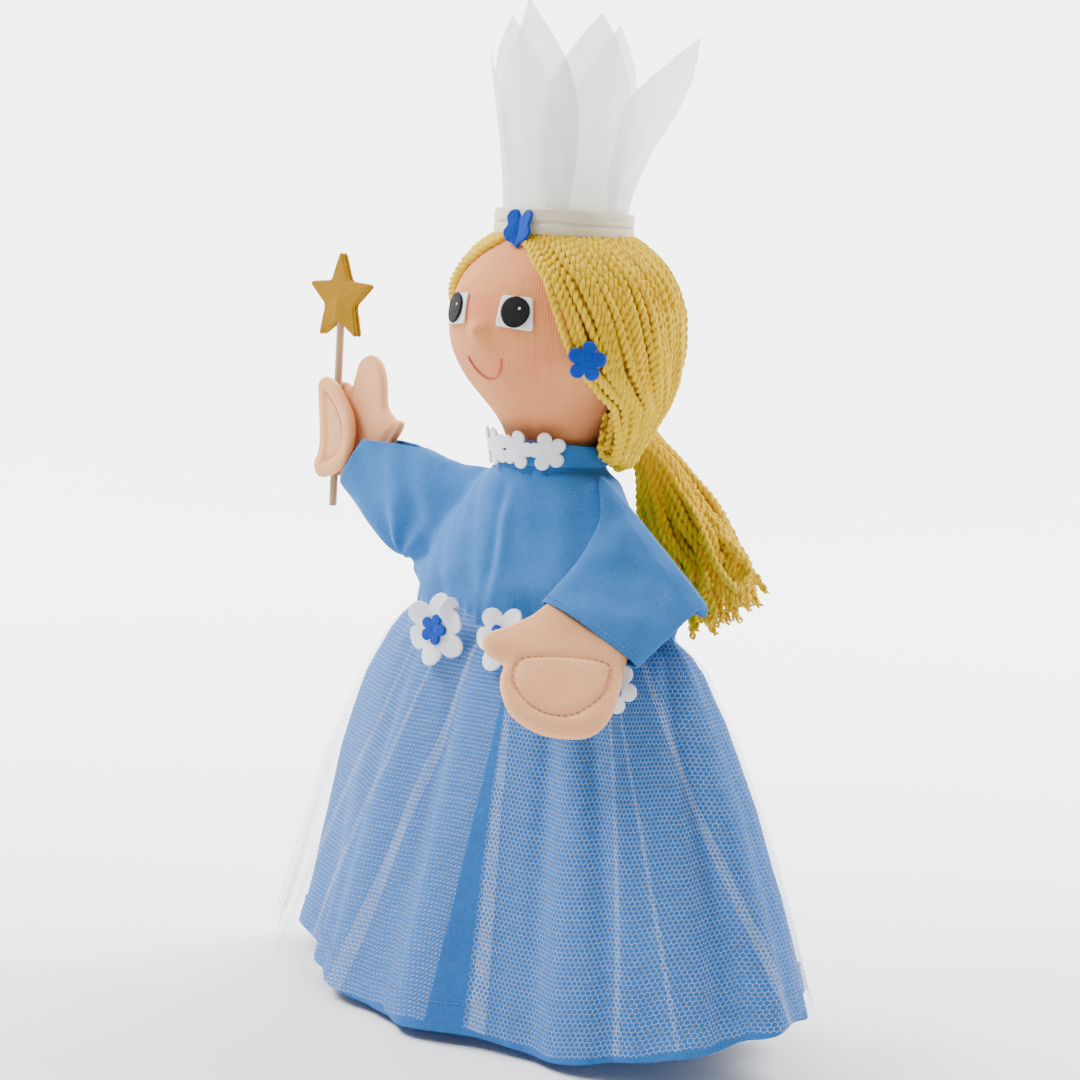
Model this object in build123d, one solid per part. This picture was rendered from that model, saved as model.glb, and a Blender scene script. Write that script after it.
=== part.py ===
from build123d import *
import math
import os

os.makedirs("parts", exist_ok=True)

# ---------------------------------------------------------------------------
# Princess glove puppet with a felt star wand.
# Frame: millimetres, +Z up, the puppet faces -Y, its left hand is at +X.
# Origin: the lower mouth of the finger tube, on the neck axis.
# ---------------------------------------------------------------------------

# ---- driving dimensions ---------------------------------------------------
FINGER_R = 9.5            # finger tube bore radius
FINGER_WALL = 1.5
FINGER_LEN = 45.0

# head cover outer surface, (z, r)
HEAD = [(0.0, 13.6), (4.0, 14.0), (8.0, 15.2), (12.0, 16.8), (16.0, 19.4), (20.0, 22.8),
        (26.0, 28.0), (32.0, 32.2), (38.0, 35.0), (44.0, 36.2), (50.0, 35.9), (56.0, 34.6),
        (62.0, 32.2), (67.0, 29.0), (71.0, 25.6), (75.0, 21.0), (78.0, 15.8), (80.2, 8.0)]
HEAD_TOP = 80.9
COVER_T = 1.15            # stockinette cover with its thin lining
NOSE_R = 4.8
NOSE_Z = 44.0
EYE_PHI = 21.3            # eyes, degrees either side of the face centre line
EYE_Z = 50.5
PUPIL_R = 4.9

# yarn wig outer surface about an axis moved back by HAIR_BACK, (z, r)
HAIR = [(5.0, 25.5), (8.0, 28.2), (12.0, 31.0), (22.0, 36.8), (30.0, 39.6), (40.0, 40.9),
        (52.0, 40.4), (60.0, 37.8), (66.0, 34.4), (70.0, 30.8), (74.0, 26.4), (78.0, 19.6),
        (81.5, 12.0)]
HAIR_TOP = 83.2
HAIR_BACK = 2.2
HAIRLINE_Y = -25.0

# crown
CROWN_R = 22.8
CROWN_T = 1.2
CROWN_Z0, CROWN_Z1 = 75.0, 84.0
PETAL_T = 0.5
# azimuth from the front, towards the left hand; tip height; flare; layer; half width in degrees
PETALS = [(17.0, 151.0, 1.0, 0, 33.0), (64.0, 149.5, 0.75, 1, 33.0), (134.0, 142.5, 2.35, 0, 31.0),
          (194.0, 147.0, 1.0, 1, 32.0), (259.0, 148.5, 1.0, 0, 32.0), (316.0, 137.0, 0.55, 1, 31.0)]

# collar
BAND_RI, BAND_RO = 15.7, 16.9
COLLAR_FLOWERS = [-47.0, -18.0, 10.0, 40.0]

# bodice sections: z, half width, half depth (two flat panels sewn at the sides)
BODICE = [(0.0, 18.6, 18.6), (-4.0, 27.0, 19.0), (-9.0, 33.5, 19.6), (-20.0, 45.0, 20.6),
          (-31.0, 56.0, 21.8), (-39.0, 63.0, 22.6), (-45.0, 61.5, 22.6), (-51.0, 58.5, 22.0)]
CLOTH = 1.2

# skirt sections: z, half width, half depth
SKIRT = [(-50.0, 61.4, 25.8), (-62.0, 68.0, 29.0), (-80.0, 77.5, 33.8), (-110.0, 91.5, 41.0),
         (-145.0, 104.5, 48.5), (-180.0, 115.0, 55.0)]
TULLE = [(-53.5, 64.4, 27.9), (-62.0, 69.2, 30.2), (-80.0, 79.2, 35.5), (-110.0, 94.2, 43.7),
         (-145.0, 108.5, 51.5), (-177.0, 119.5, 58.0)]
HEM_H = 9.0

# shoulder fold lines and arm planes
LA, LB = Vector(26.5, -4, -3), Vector(67.5, 0.5, -38)
LN = Vector(0.5577, -0.5971, 0.5766)
RA, RB = Vector(-31, 0, -2.5), Vector(-65, 0, -38.5)
RN = Vector(0, -1, 0)
L_HALF = 3.0              # half thickness of the flat left sleeve
R_HALF = 5.0
SLEEVE_WALL = 0.9
HAND_HALF = 3.0

# wand
STICK_R = 1.40
GRIP_CLEAR = 0.05
STICK_X, STICK_Y = -108.3, 0.0
STICK_Z0, STICK_Z1 = -25.0, 55.0
STAR_C = 49.6
STAR_R = 16.4
STAR_RI = 7.6
STAR_T = 1.3


def out(name, shape):
    if isinstance(shape, (list, tuple, ShapeList)):
        shape = Compound(children=list(shape)) if len(shape) > 1 else shape[0]
    shape.label = name
    export_step(shape, f"parts/{name}.step")


def solids(s):
    return list(s.solids())


# ---- surfaces of revolution -------------------------------------------------
def offset_profile(pts, d):
    res = []
    n = len(pts)
    for i, (z, r) in enumerate(pts):
        z0, r0 = pts[max(i - 1, 0)]
        z1, r1 = pts[min(i + 1, n - 1)]
        tz, tr = z1 - z0, r1 - r0
        L = math.hypot(tz, tr)
        nz, nr = -tr / L, tz / L
        if i == 0:
            nz, nr = 0.0, 1.0
        res.append((z + nz * d, max(r + nr * d, 0.3)))
    return res


def revolved(pts, top, d=0.0, bottom=None):
    p = offset_profile(pts, d)
    v = [Vector(r, 0, z) for z, r in p]
    if bottom is not None:
        v[0] = Vector(v[0].X, 0, bottom)
    z0 = v[0].Z
    sp = Spline(v + [Vector(0, 0, top + d)], tangents=[Vector(0.15, 0, 1), Vector(-1, 0, 0)])
    l1 = Line(Vector(0, 0, z0), v[0])
    l2 = Line(Vector(0, 0, top + d), Vector(0, 0, z0))
    return revolve(make_face([l1, sp, l2]), axis=Axis.Z, revolution_arc=360)


def head_solid(d=0.0, bottom=None):
    return revolved(HEAD, HEAD_TOP, d, bottom)


def head_r(z):
    for (z0, r0), (z1, r1) in zip(HEAD, HEAD[1:]):
        if z0 <= z <= z1:
            return r0 + (r1 - r0) * (z - z0) / (z1 - z0)
    return 8.0


def head_tilt(z):
    return math.degrees(math.atan2(head_r(z - 2) - head_r(z + 2), 4.0))


def radial_plane(phi, z, r, tilt=0.0, cy=0.0):
    """Plane whose normal points out of the head at azimuth phi (0 = front, + = left hand)."""
    a, t = math.radians(phi), math.radians(tilt)
    n = Vector(math.sin(a) * math.cos(t), -math.cos(a) * math.cos(t), math.sin(t))
    x = Vector(math.cos(a), math.sin(a), 0)
    o = Vector(r * math.sin(a), cy - r * math.cos(a), z)
    return Plane(origin=o, x_dir=x, z_dir=n)


def prism(plane, pts, h0, h1, smooth=False):
    v = [plane.from_local_coords(Vector(x, y, h0)) for x, y in pts]
    if smooth:
        w = Spline(v, periodic=True)
        f = make_face([w])
    else:
        f = make_face([Polyline(v + [v[0]])])
    return extrude(f, amount=h1 - h0, dir=plane.z_dir)


def daisy(n, r_out, r_in, turn=0.0, m=8):
    """Outline of a round-petalled felt flower."""
    pts = []
    for i in range(n):
        for j in range(m):
            a = 2 * math.pi * (i + j / m) / n + math.radians(turn)
            k = abs(math.cos(math.pi * (j / m)))
            k = 1.0 - (1.0 - k) ** 0.9
            s = math.cos(math.pi * (j / m)) ** 2
            r = r_in + (r_out - r_in) * (0.25 * k + 0.75 * s) ** 0.55
            pts.append((r * math.sin(a), r * math.cos(a)))
    return pts


# ---- closed sections for the dress ------------------------------------------
def lens(z, a, b):
    f = ThreePointArc(Vector(-a, 0, z), Vector(0, -b, z), Vector(a, 0, z))
    g = ThreePointArc(Vector(a, 0, z), Vector(0, b, z), Vector(-a, 0, z))
    return make_face([f, g])


def ell(z, a, b):
    return Plane.XY.offset(z) * Ellipse(a, b)


def loft_sections(kind, secs, grow=0.0):
    return loft([kind(z, a + grow, b + grow) for z, a, b in secs], ruled=True)


def shell(kind, secs, wall):
    o = loft_sections(kind, secs)
    ins = [(z, a - wall, b - wall) for z, a, b in secs]
    (z0, a0, b0), (z1, a1, b1) = ins[0], ins[1]
    s = 2.0 / (z1 - z0)
    top = (z0 - s * (z1 - z0), a0 - s * (a1 - a0), b0 - s * (b1 - b0)) if False else (z0 + 0.6, a0, b0)
    zb, ab, bb = ins[-1]
    ins = [top] + [i for i in ins] + [(zb - 0.6, ab, bb)]
    return o - loft_sections(kind, ins)


def half(side):
    return Box(400, 200, 600, align=(Align.CENTER, Align.MAX if side < 0 else Align.MIN, Align.CENTER))


# ---- arms ---------------------------------------------------------------------
class Arm:
    def __init__(self, a, b, n):
        self.o = a
        self.t = (b - a).normalized()
        self.n = n.normalized()
        self.p = self.n.cross(self.t).normalized()
        if self.p.Z > 0 and self.n.Z > 0.1:
            self.p = self.p * -1
        if self.n.Z < 0.1 and self.p.X > 0:
            self.p = self.p * -1

    def at(self, p, q, h=0.0):
        return self.o + self.p * p + self.t * q + self.n * h

    def plate(self, pts, h0, h1, smooth=False):
        v = [self.at(p, q, h0) for p, q in pts]
        if smooth:
            f = make_face([Spline(v, periodic=True)])
        else:
            f = make_face([Polyline(v + [v[0]])])
        return extrude(f, amount=h1 - h0, dir=self.n)

    def plate_path(self, edges_pts, h0, h1):
        """edges_pts: list of point lists, each a line (2 points) or a spline."""
        es = []
        for pts in edges_pts:
            v = [self.at(p, q, h0) for p, q in pts]
            es.append(Line(v[0], v[1]) if len(v) == 2 else Spline(v))
        return extrude(make_face(es), amount=h1 - h0, dir=self.n)


L = Arm(LA, LB, LN)
R = Arm(RA, RB, RN)


def sleeve(arm, top, bot, half_t, root_p, web_q):
    """Flat cloth sleeve: open at the root and the cuff, stitched to the dress by two root webs."""
    outer = arm.plate_path([top, [top[-1], bot[-1]], bot[::-1], [bot[0], top[0]]], -half_t, half_t)
    w = SLEEVE_WALL
    e = 3.0
    dt = ((top[-1][0] - top[-2][0]), (top[-1][1] - top[-2][1]))
    k = math.hypot(*dt)
    dt = (dt[0] / k * e, dt[1] / k * e)
    db = ((bot[-1][0] - bot[-2][0]), (bot[-1][1] - bot[-2][1]))
    k = math.hypot(*db)
    db = (db[0] / k * e, db[1] / k * e)
    it = [(top[0][0] - e, top[0][1] + w + 0.3)] + [(p, q + w + 0.6) for p, q in top[1:]] + \
         [(top[-1][0] + dt[0], top[-1][1] + dt[1] + w + 0.6)]
    ib = [(bot[0][0] - e, bot[0][1] - w - 0.3)] + [(p, q - w - 0.4) for p, q in bot[1:]] + \
         [(bot[-1][0] + db[0], bot[-1][1] + db[1] - w - 0.4)]
    inner = arm.plate(it + ib[::-1], -half_t + w, half_t - w)
    return outer - inner


L_TOP = [(6.5, 10.8), (12.0, 14.0), (18.4, 17.6), (28.0, 21.8), (39.2, 25.4)]
L_BOT = [(6.5, 53.8), (13.0, 56.4), (27.6, 60.6)]
R_TOP = [(8.5, 9.2), (18.0, 14.6), (27.6, 18.9), (42.9, 25.1)]
R_BOT = [(8.5, 53.6), (18.0, 56.0), (29.0, 57.8), (41.0, 59.2)]


def web(arm, p0, p1, q0, q1, ht):
    return arm.plate([(p0, q0), (p1, q0 + 1.2), (p1, q1 + 0.6), (p0, q1)], -ht, ht)


# ============================ HEAD ============================================
core = head_solid(-COVER_T - 0.9, bottom=0.4)
core -= Pos(0, 0, -1) * Cylinder(FINGER_R + FINGER_WALL + 0.02, FINGER_LEN + 1.02, align=(Align.CENTER, Align.CENTER, Align.MIN))
out("head_core", core)

tube = Cylinder(FINGER_R + FINGER_WALL, FINGER_LEN, align=(Align.CENTER, Align.CENTER, Align.MIN)) - \
    Pos(0, 0, -1) * Cylinder(FINGER_R, FINGER_LEN + 2, align=(Align.CENTER, Align.CENTER, Align.MIN))
out("finger_tube", tube)

head0 = head_solid(0.0)
nose_at = Pos(0, -33.4, NOSE_Z)
cover_in = head_solid(-COVER_T, bottom=-0.5)
cover = (head0 + nose_at * Sphere(NOSE_R)) - (cover_in + nose_at * Sphere(NOSE_R - 0.9))
out("face_cover", cover)
out("nose_stuffing", nose_at * Sphere(NOSE_R - 0.95) - head_solid(-COVER_T + 0.05, bottom=-0.5))



def patch(d0, d1, pr):
    """Thin piece that follows the head between two offsets, cut out by a prism."""
    return (pr & head_solid(d1)) - head_solid(d0)


for side, nm in ((1, "left"), (-1, "right")):
    pl = radial_plane(side * EYE_PHI, EYE_Z, 28.0, 0.0)
    quad = [(-5.2 * side, 5.6), (5.6 * side, 4.8), (6.6 * side, -5.6), (-7.0 * side, -4.3)]
    if side < 0:
        quad = quad[::-1]
    out(f"eye_white_{nm}", patch(0.05, 0.55, prism(pl, quad, 2, 16)))
    pl2 = Plane(origin=pl.from_local_coords(Vector(0.3 * side, 0.2, 0)), x_dir=pl.x_dir, z_dir=pl.z_dir)
    out(f"eye_pupil_{nm}", patch(0.6, 1.25, pl2 * Cylinder(PUPIL_R, 16, align=(Align.CENTER, Align.CENTER, Align.MIN))))

# smile: a thin thread band sewn on the cover
smile = []
for i in range(13):
    t = -1 + 2 * i / 12
    smile.append((7.6 * t, 35.4 - 6.9 * (1 - t * t) ** 0.8))
band = [(x, z + 0.42) for x, z in smile] + [(x, z - 0.42) for x, z in smile[::-1]]
fp = Plane(origin=Vector(0, -20, 0), x_dir=Vector(1, 0, 0), z_dir=Vector(0, -1, 0))
out("mouth_stitch", patch(0.05, 0.6, prism(fp, band, 0, 30)))

# ---- hair ----------------------------------------------------------------------
hair = Pos(0, HAIR_BACK, 0) * revolved(HAIR, HAIR_TOP)
hair -= head_solid(0.1, bottom=-5)
window = make_face([Polyline([Vector(-60, -60, 76), Vector(-60, HAIRLINE_Y, 76), Vector(-60, HAIRLINE_Y, 39),
                              Vector(-60, -4.0, 20), Vector(-60, -4.0, -2), Vector(-60, -60, -2), Vector(-60, -60, 76)])])
hair -= extrude(window, amount=120, dir=Vector(1, 0, 0))
# on the right the hairline runs further back below the temple
window = make_face([Polyline([Vector(-60, -60, 66), Vector(-60, HAIRLINE_Y, 62), Vector(-60, -13.0, 50), Vector(-60, -5.0, 40),
                              Vector(-60, -3.0, 20), Vector(-60, -3.0, -2), Vector(-60, -60, -2), Vector(-60, -60, 66)])])
hair -= extrude(window, amount=60, dir=Vector(1, 0, 0))
hair -= Cylinder(21.8, 13, align=(Align.CENTER, Align.CENTER, Align.MIN))
hair -= Pos(0, 0, CROWN_Z0 - 0.1) * (Cylinder(45, 20, align=(Align.CENTER, Align.CENTER, Align.MIN)) -
                                     Cylinder(19.8, 20, align=(Align.CENTER, Align.CENTER, Align.MIN)))
hair = max(solids(hair), key=lambda s: s.volume)
out("yarn_wig", hair)

for side, nm in ((1, "left"), (-1, "right")):
    pl = radial_plane(59.0 if side > 0 else -84.0, 36.4, 40.6 if side > 0 else 40.95, -4.0, cy=0.0)
    out(f"hair_flower_{nm}", prism(pl, daisy(5, 6.4, 3.6, 8.0 * side), 0.25, 1.65, smooth=True))

# ---- crown ---------------------------------------------------------------------
ring = Pos(0, 0, CROWN_Z0) * (Cylinder(CROWN_R, CROWN_Z1 - CROWN_Z0, align=(Align.CENTER, Align.CENTER, Align.MIN)) -
                              Cylinder(CROWN_R - CROWN_T, CROWN_Z1 - CROWN_Z0, align=(Align.CENTER, Align.CENTER, Align.MIN)))
out("crown_band", ring)
pl = radial_plane(9.0, 77.6, CROWN_R + 1.6, 14.0)
heart = [(0.0, 3.9), (1.6, 5.6), (3.9, 5.4), (4.7, 2.6), (4.3, 0.0), (5.2, -2.2), (3.4, -4.6), (1.6, -5.6), (0.0, -6.4),
         (-1.7, -5.4), (-4.4, -4.0), (-5.2, -1.6), (-4.2, 0.4), (-4.6, 3.2), (-3.4, 5.6), (-1.4, 5.4)]
out("crown_flower", prism(pl, heart[::-1], 0.5, 1.9, smooth=True))

for i, (phi, tip, flare, lay, hw) in enumerate(PETALS, 1):
    r0 = CROWN_R - CROWN_T - 0.15 - lay * (PETAL_T + 0.45)
    h = tip - 76.0
    prof = [(r0, 76.0), (r0, 84.0), (r0 + 1.2 * flare, 84 + 0.2 * h), (r0 + 4.2 * flare, 84 + 0.45 * h),
            (r0 + 8.4 * flare, 84 + 0.72 * h), (r0 + 11.0 * flare, tip + 1.0)]
    outer_e = Spline([Vector(r, 0, z) for r, z in prof])
    inner_e = Spline([Vector(r - PETAL_T, 0, z) for r, z in prof])
    v0, v1 = Vector(prof[0][0], 0, prof[0][1]), Vector(prof[-1][0], 0, prof[-1][1])
    w0, w1 = Vector(prof[0][0] - PETAL_T, 0, prof[0][1]), Vector(prof[-1][0] - PETAL_T, 0, prof[-1][1])
    f = make_face([outer_e, Line(v1, w1), inner_e, Line(w0, v0)])
    sw = revolve(f, axis=Axis.Z, revolution_arc=360)
    half_w = r0 * math.sin(math.radians(hw))
    pl = radial_plane(phi, 76.0, 0.5, 0.0)
    outline = [(-half_w * 0.86, -1), (half_w * 0.86, -1), (half_w * 0.92, h * 0.16), (half_w * 1.16, h * 0.36),
               (half_w * 1.2, h * 0.55), (half_w * 0.98, h * 0.74), (half_w * 0.52, h * 0.89), (0.0, h),
               (-half_w * 0.52, h * 0.89), (-half_w * 0.98, h * 0.74), (-half_w * 1.2, h * 0.55), (-half_w * 1.16, h * 0.36),
               (-half_w * 0.92, h * 0.16)]
    out(f"crown_petal_{i}", sw & prism(pl, outline, 0, 70))

# ---- ponytail --------------------------------------------------------------------
TIE = Vector(5.0, 39.6, 6.0)
path = [(Vector(5.0, 39.6, 6.0), 6.6, 6.6), (Vector(10.5, 45.4, -3.0), 9.5, 7.6), (Vector(17.0, 49.4, -14.0), 12.0, 8.4),
        (Vector(25.0, 51.8, -27.0), 13.5, 8.4), (Vector(32.0, 53.0, -38.0), 11.0, 6.5)]
secs = []
for i, (c, a, b) in enumerate(path):
    d = (path[min(i + 1, len(path) - 1)][0] - path[max(i - 1, 0)][0]).normalized()
    secs.append(Plane(origin=c, x_dir=Vector(0.86, -0.5, 0.0) - d * Vector(0.86, -0.5, 0.0).dot(d), z_dir=d) * Ellipse(a, b))
pony = loft(secs, ruled=True)
pony = max(solids(pony + Pos(TIE.X, TIE.Y, TIE.Z) * Sphere(6.55)), key=lambda s: s.volume)
d0 = (path[1][0] - path[0][0]).normalized()
tie_pl = Plane(origin=TIE + d0 * 2.0, z_dir=d0)
tie_ring = tie_pl * Torus(7.0, 1.5)
out("hair_tie", tie_ring)
out("ponytail", pony - tie_ring)

# ============================ COLLAR ===========================================
prof = [(BAND_RI, -4.0), (BAND_RO, -4.0), (BAND_RO, 0.9), (19.4, 0.9), (19.4, 4.6), (BAND_RI, 4.6)]
nb = revolve(make_face([Polyline([Vector(r, 0, z) for r, z in prof] + [Vector(prof[0][0], 0, prof[0][1])])]),
             axis=Axis.Z, revolution_arc=360)
out("neck_band", nb)
fl = []
for k, phi in enumerate(COLLAR_FLOWERS):
    pl = radial_plane(phi, 2.4, 19.95, -9.0)
    pts = [(x, y + 4.0) for x, y in daisy(5, 5.9, 3.3, 14 * (-1) ** k)]
    fl += solids(prism(pl, pts, 0.0, 1.3, smooth=True))
out("collar_flowers", fl)

# ============================ BODICE ===========================================
bod = shell(lens, BODICE, CLOTH)
# armholes, a slot down each side where a finger passes into the sleeve
for arm, ht in ((L, 12.8), (R, 7.0)):
    if arm is L:
        a2 = Arm(Vector(27, 0, -4), Vector(62, 0, -37.5), Vector(0, -1, 0))
    else:
        a2 = Arm(Vector(-27, 0, -4), Vector(-62, 0, -37.5), Vector(0, -1, 0))
    bod -= a2.plate([(-12, 9), (14, 9), (14, 43), (-12, 43)], -ht, ht)
front = bod & half(-1)
back = bod & half(1)
out("bodice_front", max(solids(front), key=lambda s: s.volume))
out("bodice_back", max(solids(back), key=lambda s: s.volume))

# ============================ SLEEVES ==========================================
ls = sleeve(L, L_TOP, L_BOT, L_HALF, 6.5, None)
ls = ls + web(L, 1.2, 7.2, 9.0, 16.0, 0.8) + web(L, 1.2, 7.2, 47.5, 54.0, 0.8)
out("left_sleeve", max(solids(ls), key=lambda s: s.volume))
rs = sleeve(R, R_TOP, R_BOT, R_HALF, 8.5, None)
rs = rs + web(R, 1.2, 9.2, 4.6, 12.5, 0.8) + web(R, 1.2, 9.2, 46.0, 52.6, 0.8)
out("right_sleeve", max(solids(rs), key=lambda s: s.volume))

# ============================ LEFT HAND ========================================
# wrist hinge along the cuff line; the hand starts just outside the cuff
LW = [(40.2, 26.4), (46.6, 27.8), (55.3, 26.6), (60.9, 25.3), (64.2, 27.2), (65.1, 31.0), (63.6, 34.7),
      (63.5, 37.6), (68.7, 43.6), (70.9, 52.6), (67.8, 61.8), (62.6, 67.6), (55.6, 72.3), (48.4, 72.3), (40.8, 68.9), (29.2, 61.2)]
hand = L.plate_path([LW, [LW[-1], LW[0]]], -HAND_HALF, HAND_HALF)
LD = [(58.3, 39.5), (51.3, 43.0), (43.7, 48.6), (38.0, 55.0), (39.0, 60.6), (45.0, 64.0), (54.7, 64.4), (61.1, 60.1),
      (64.6, 52.7), (64.3, 45.6)]


def scaled(pts, k):
    cx = sum(p for p, q in pts) / len(pts)
    cy = sum(q for p, q in pts) / len(pts)
    return [(cx + (p - cx) * k, cy + (q - cy) * k) for p, q in pts]


pad_l = L.plate(scaled(LD, 0.9), -HAND_HALF + 1.0, HAND_HALF - 1.0, smooth=True)
mid = 0.0
front_half = L.plate([(0, -20), (90, -20), (90, 100), (0, 100)], 0.0, 20)
stitch_l = L.plate(scaled(LD, 1.03), HAND_HALF + 0.02, HAND_HALF + 0.5, smooth=True) - \
    L.plate(scaled(LD, 0.97), HAND_HALF - 1, HAND_HALF + 2, smooth=True)
body_l = hand - pad_l
out("left_hand_palm", body_l & front_half)
out("left_hand_back", body_l - front_half)
out("left_hand_wadding", pad_l)
out("left_hand_stitching", stitch_l)

# ============================ RIGHT HAND =======================================
# palm and thumb behind the stick, fingers folded round it, all in the plane of the sleeve
def xz(pts, y0, y1, smooth=True):
    v = [Vector(x, y0, z) for x, z in pts]
    f = make_face([Spline(v, periodic=True)]) if smooth else make_face([Polyline(v + [v[0]])])
    return extrude(f, amount=y0 - y1, dir=Vector(0, -1, 0)) if y1 < y0 else extrude(f, amount=y1 - y0, dir=Vector(0, 1, 0))


PALM = [R.at(p, q) for p, q in [(44.2, 26.6), (50.4, 26.4), (57.7, 20.2), (63.9, 17.9), (69.0, 20.3), (70.6, 25.2),
                                (68.4, 31.0), (66.6, 35.5)]]
palm_pts = [(v.X, v.Z) for v in PALM] + [(-106.5, 19.5), (-110.6, 20.4), (-113.2, 17.4), (-112.6, 9.3), (-112.0, 0.0),
                                         (-113.2, -8.0), (-112.6, -12.8), (-109.0, -14.6), (-103.2, -16.6)]
hole = Pos(STICK_X, STICK_Y, 0) * Cylinder(STICK_R + GRIP_CLEAR, 120)
v = [Vector(x, 0.9, z) for x, z in palm_pts]
palm_f = make_face([Spline(v), Line(v[-1], v[0])])
palm = extrude(palm_f, amount=4.6, dir=Vector(0, 1, 0))
thumb_pts = [(v_.X, v_.Z) for v_ in PALM[1:]]
fill = xz([(-113.0, 16.5), (-112.4, 9.3), (-111.8, 0.0), (-112.9, -8.0), (-112.2, -12.6), (-106.5, -13.6), (-104.6, -9.0),
           (-104.2, 0.0), (-104.6, 9.0), (-106.6, 15.0), (-110.5, 19.2)], 0.85, -0.85)
palm = max(solids(palm - hole), key=lambda s: s.volume)
FLAP = [(-110.4, 21.4), (-113.8, 18.4), (-112.6, 9.3), (-111.6, 0.0), (-111.8, -5.5), (-114.4, -10.6), (-111.4, -14.8),
        (-104.6, -13.2), (-99.9, -10.2), (-96.2, -5.5), (-94.6, 1.8), (-96.0, 8.8), (-100.5, 14.6), (-105.5, 19.4)]
flap = xz(FLAP, -0.9, -5.2)
flap = max(solids((flap + extrude(make_face([Spline([Vector(x, -0.9, z) for x, z in [(-113.0, 16.5), (-112.4, 9.3), (-111.8, 0.0), (-112.9, -8.0), (-112.2, -12.6), (-106.5, -13.6), (-104.6, -9.0), (-104.2, 0.0), (-104.6, 9.0), (-106.6, 15.0), (-110.5, 19.2)]], periodic=True)]), amount=1.75, dir=Vector(0, 1, 0))) - hole), key=lambda s: s.volume)
out("right_hand_palm", palm)
out("right_hand_fingers", flap)
# curved seam crease sewn across the folded fingers
seam = [(-110.2, 15.5), (-104.0, 11.5), (-100.2, 6.0), (-98.8, 0.5), (-100.4, -4.6), (-104.6, -9.0)]
side_a, side_b = [], []
for i, (x, z) in enumerate(seam):
    (xa, za), (xb, zb) = seam[max(i - 1, 0)], seam[min(i + 1, len(seam) - 1)]
    k = 0.3 / math.hypot(xb - xa, zb - za)
    side_a.append((x - (zb - za) * k, z + (xb - xa) * k))
    side_b.append((x + (zb - za) * k, z - (xb - xa) * k))
st = xz(side_a + side_b[::-1], -5.22, -5.7, smooth=False)
out("right_hand_stitching", st)

# ============================ WAND =============================================
stick = Pos(STICK_X, STICK_Y, STICK_Z0) * Cylinder(STICK_R, STICK_Z1 - STICK_Z0, align=(Align.CENTER, Align.CENTER, Align.MIN))
stick = chamfer(stick.edges().filter_by(GeomType.CIRCLE), 0.3)
out("wand_stick", stick)


def star_pts(ro, ri):
    pts = []
    for i in range(10):
        a = math.pi * i / 5
        r = ro if i % 2 == 0 else ri
        pts.append((r * math.sin(a), r * math.cos(a)))
    return pts


def star(y0, y1):
    v = [Vector(STICK_X + x, y0, STAR_C + z) for x, z in star_pts(STAR_R + 1.4, STAR_RI)]
    f = make_face([Polyline(v + [v[0]])])
    s = extrude(f, amount=abs(y1 - y0), dir=Vector(0, 1 if y1 > y0 else -1, 0))
    es = s.edges().filter_by(Axis.Y)
    tips = [e for e in es if math.hypot(e.center().X - STICK_X, e.center().Z - STAR_C) > 12]
    return fillet(tips, 1.9)


pocket = Pos(STICK_X, 0, STICK_Z1 - 30) * Cylinder(STICK_R + GRIP_CLEAR, 30.06, align=(Align.CENTER, Align.CENTER, Align.MIN))
out("star_front", star(0.0, -STAR_T - 0.9) - pocket)
out("star_back", star(0.0, STAR_T + 0.9) - pocket)

# ============================ SKIRT ============================================
under = shell(ell, SKIRT, 1.0)
zb, ab, bb = SKIRT[-1]
k = (zb + HEM_H - SKIRT[-2][0]) / (zb - SKIRT[-2][0])
a_h = SKIRT[-2][1] + (ab - SKIRT[-2][1]) * k
b_h = SKIRT[-2][2] + (bb - SKIRT[-2][2]) * k
cutter = Pos(0, 0, zb + HEM_H) * Box(400, 200, 60, align=(Align.CENTER, Align.CENTER, Align.MAX))
out("underskirt", under - cutter)
out("skirt_hem", under & cutter)
out("tulle_overskirt", shell(ell, TULLE, 0.8))

fw, fc = [], []
for x, y, z, turn, yaw in ((-21.5, -29.4, -55.0, 0.0, -4.0), (11.5, -30.7, -54.6, 22.0, 8.0), (53.1, -21.9, -63.6, 40.0, 29.0)):
    pl = radial_plane(yaw, 0, 0, 3.0)
    pl = Plane(origin=Vector(x, y, z), x_dir=pl.x_dir, z_dir=pl.z_dir)
    big = [(px, py * 0.98) for px, py in daisy(6, 10.8 if x < 40 else 7.4, 5.2 if x < 40 else 4.0, turn)]
    fw += solids(prism(pl, big, 0.6, 1.9, smooth=True))
    fc += solids(prism(pl, daisy(5, 4.6 if x < 40 else 3.6, 2.8 if x < 40 else 2.2, turn + 20), 1.95, 3.1, smooth=True))
out("waist_flowers", fw)
out("waist_flower_centres", fc)
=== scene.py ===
import math
import random

import bpy
import numpy as np
from mathutils import Matrix, Vector


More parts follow.
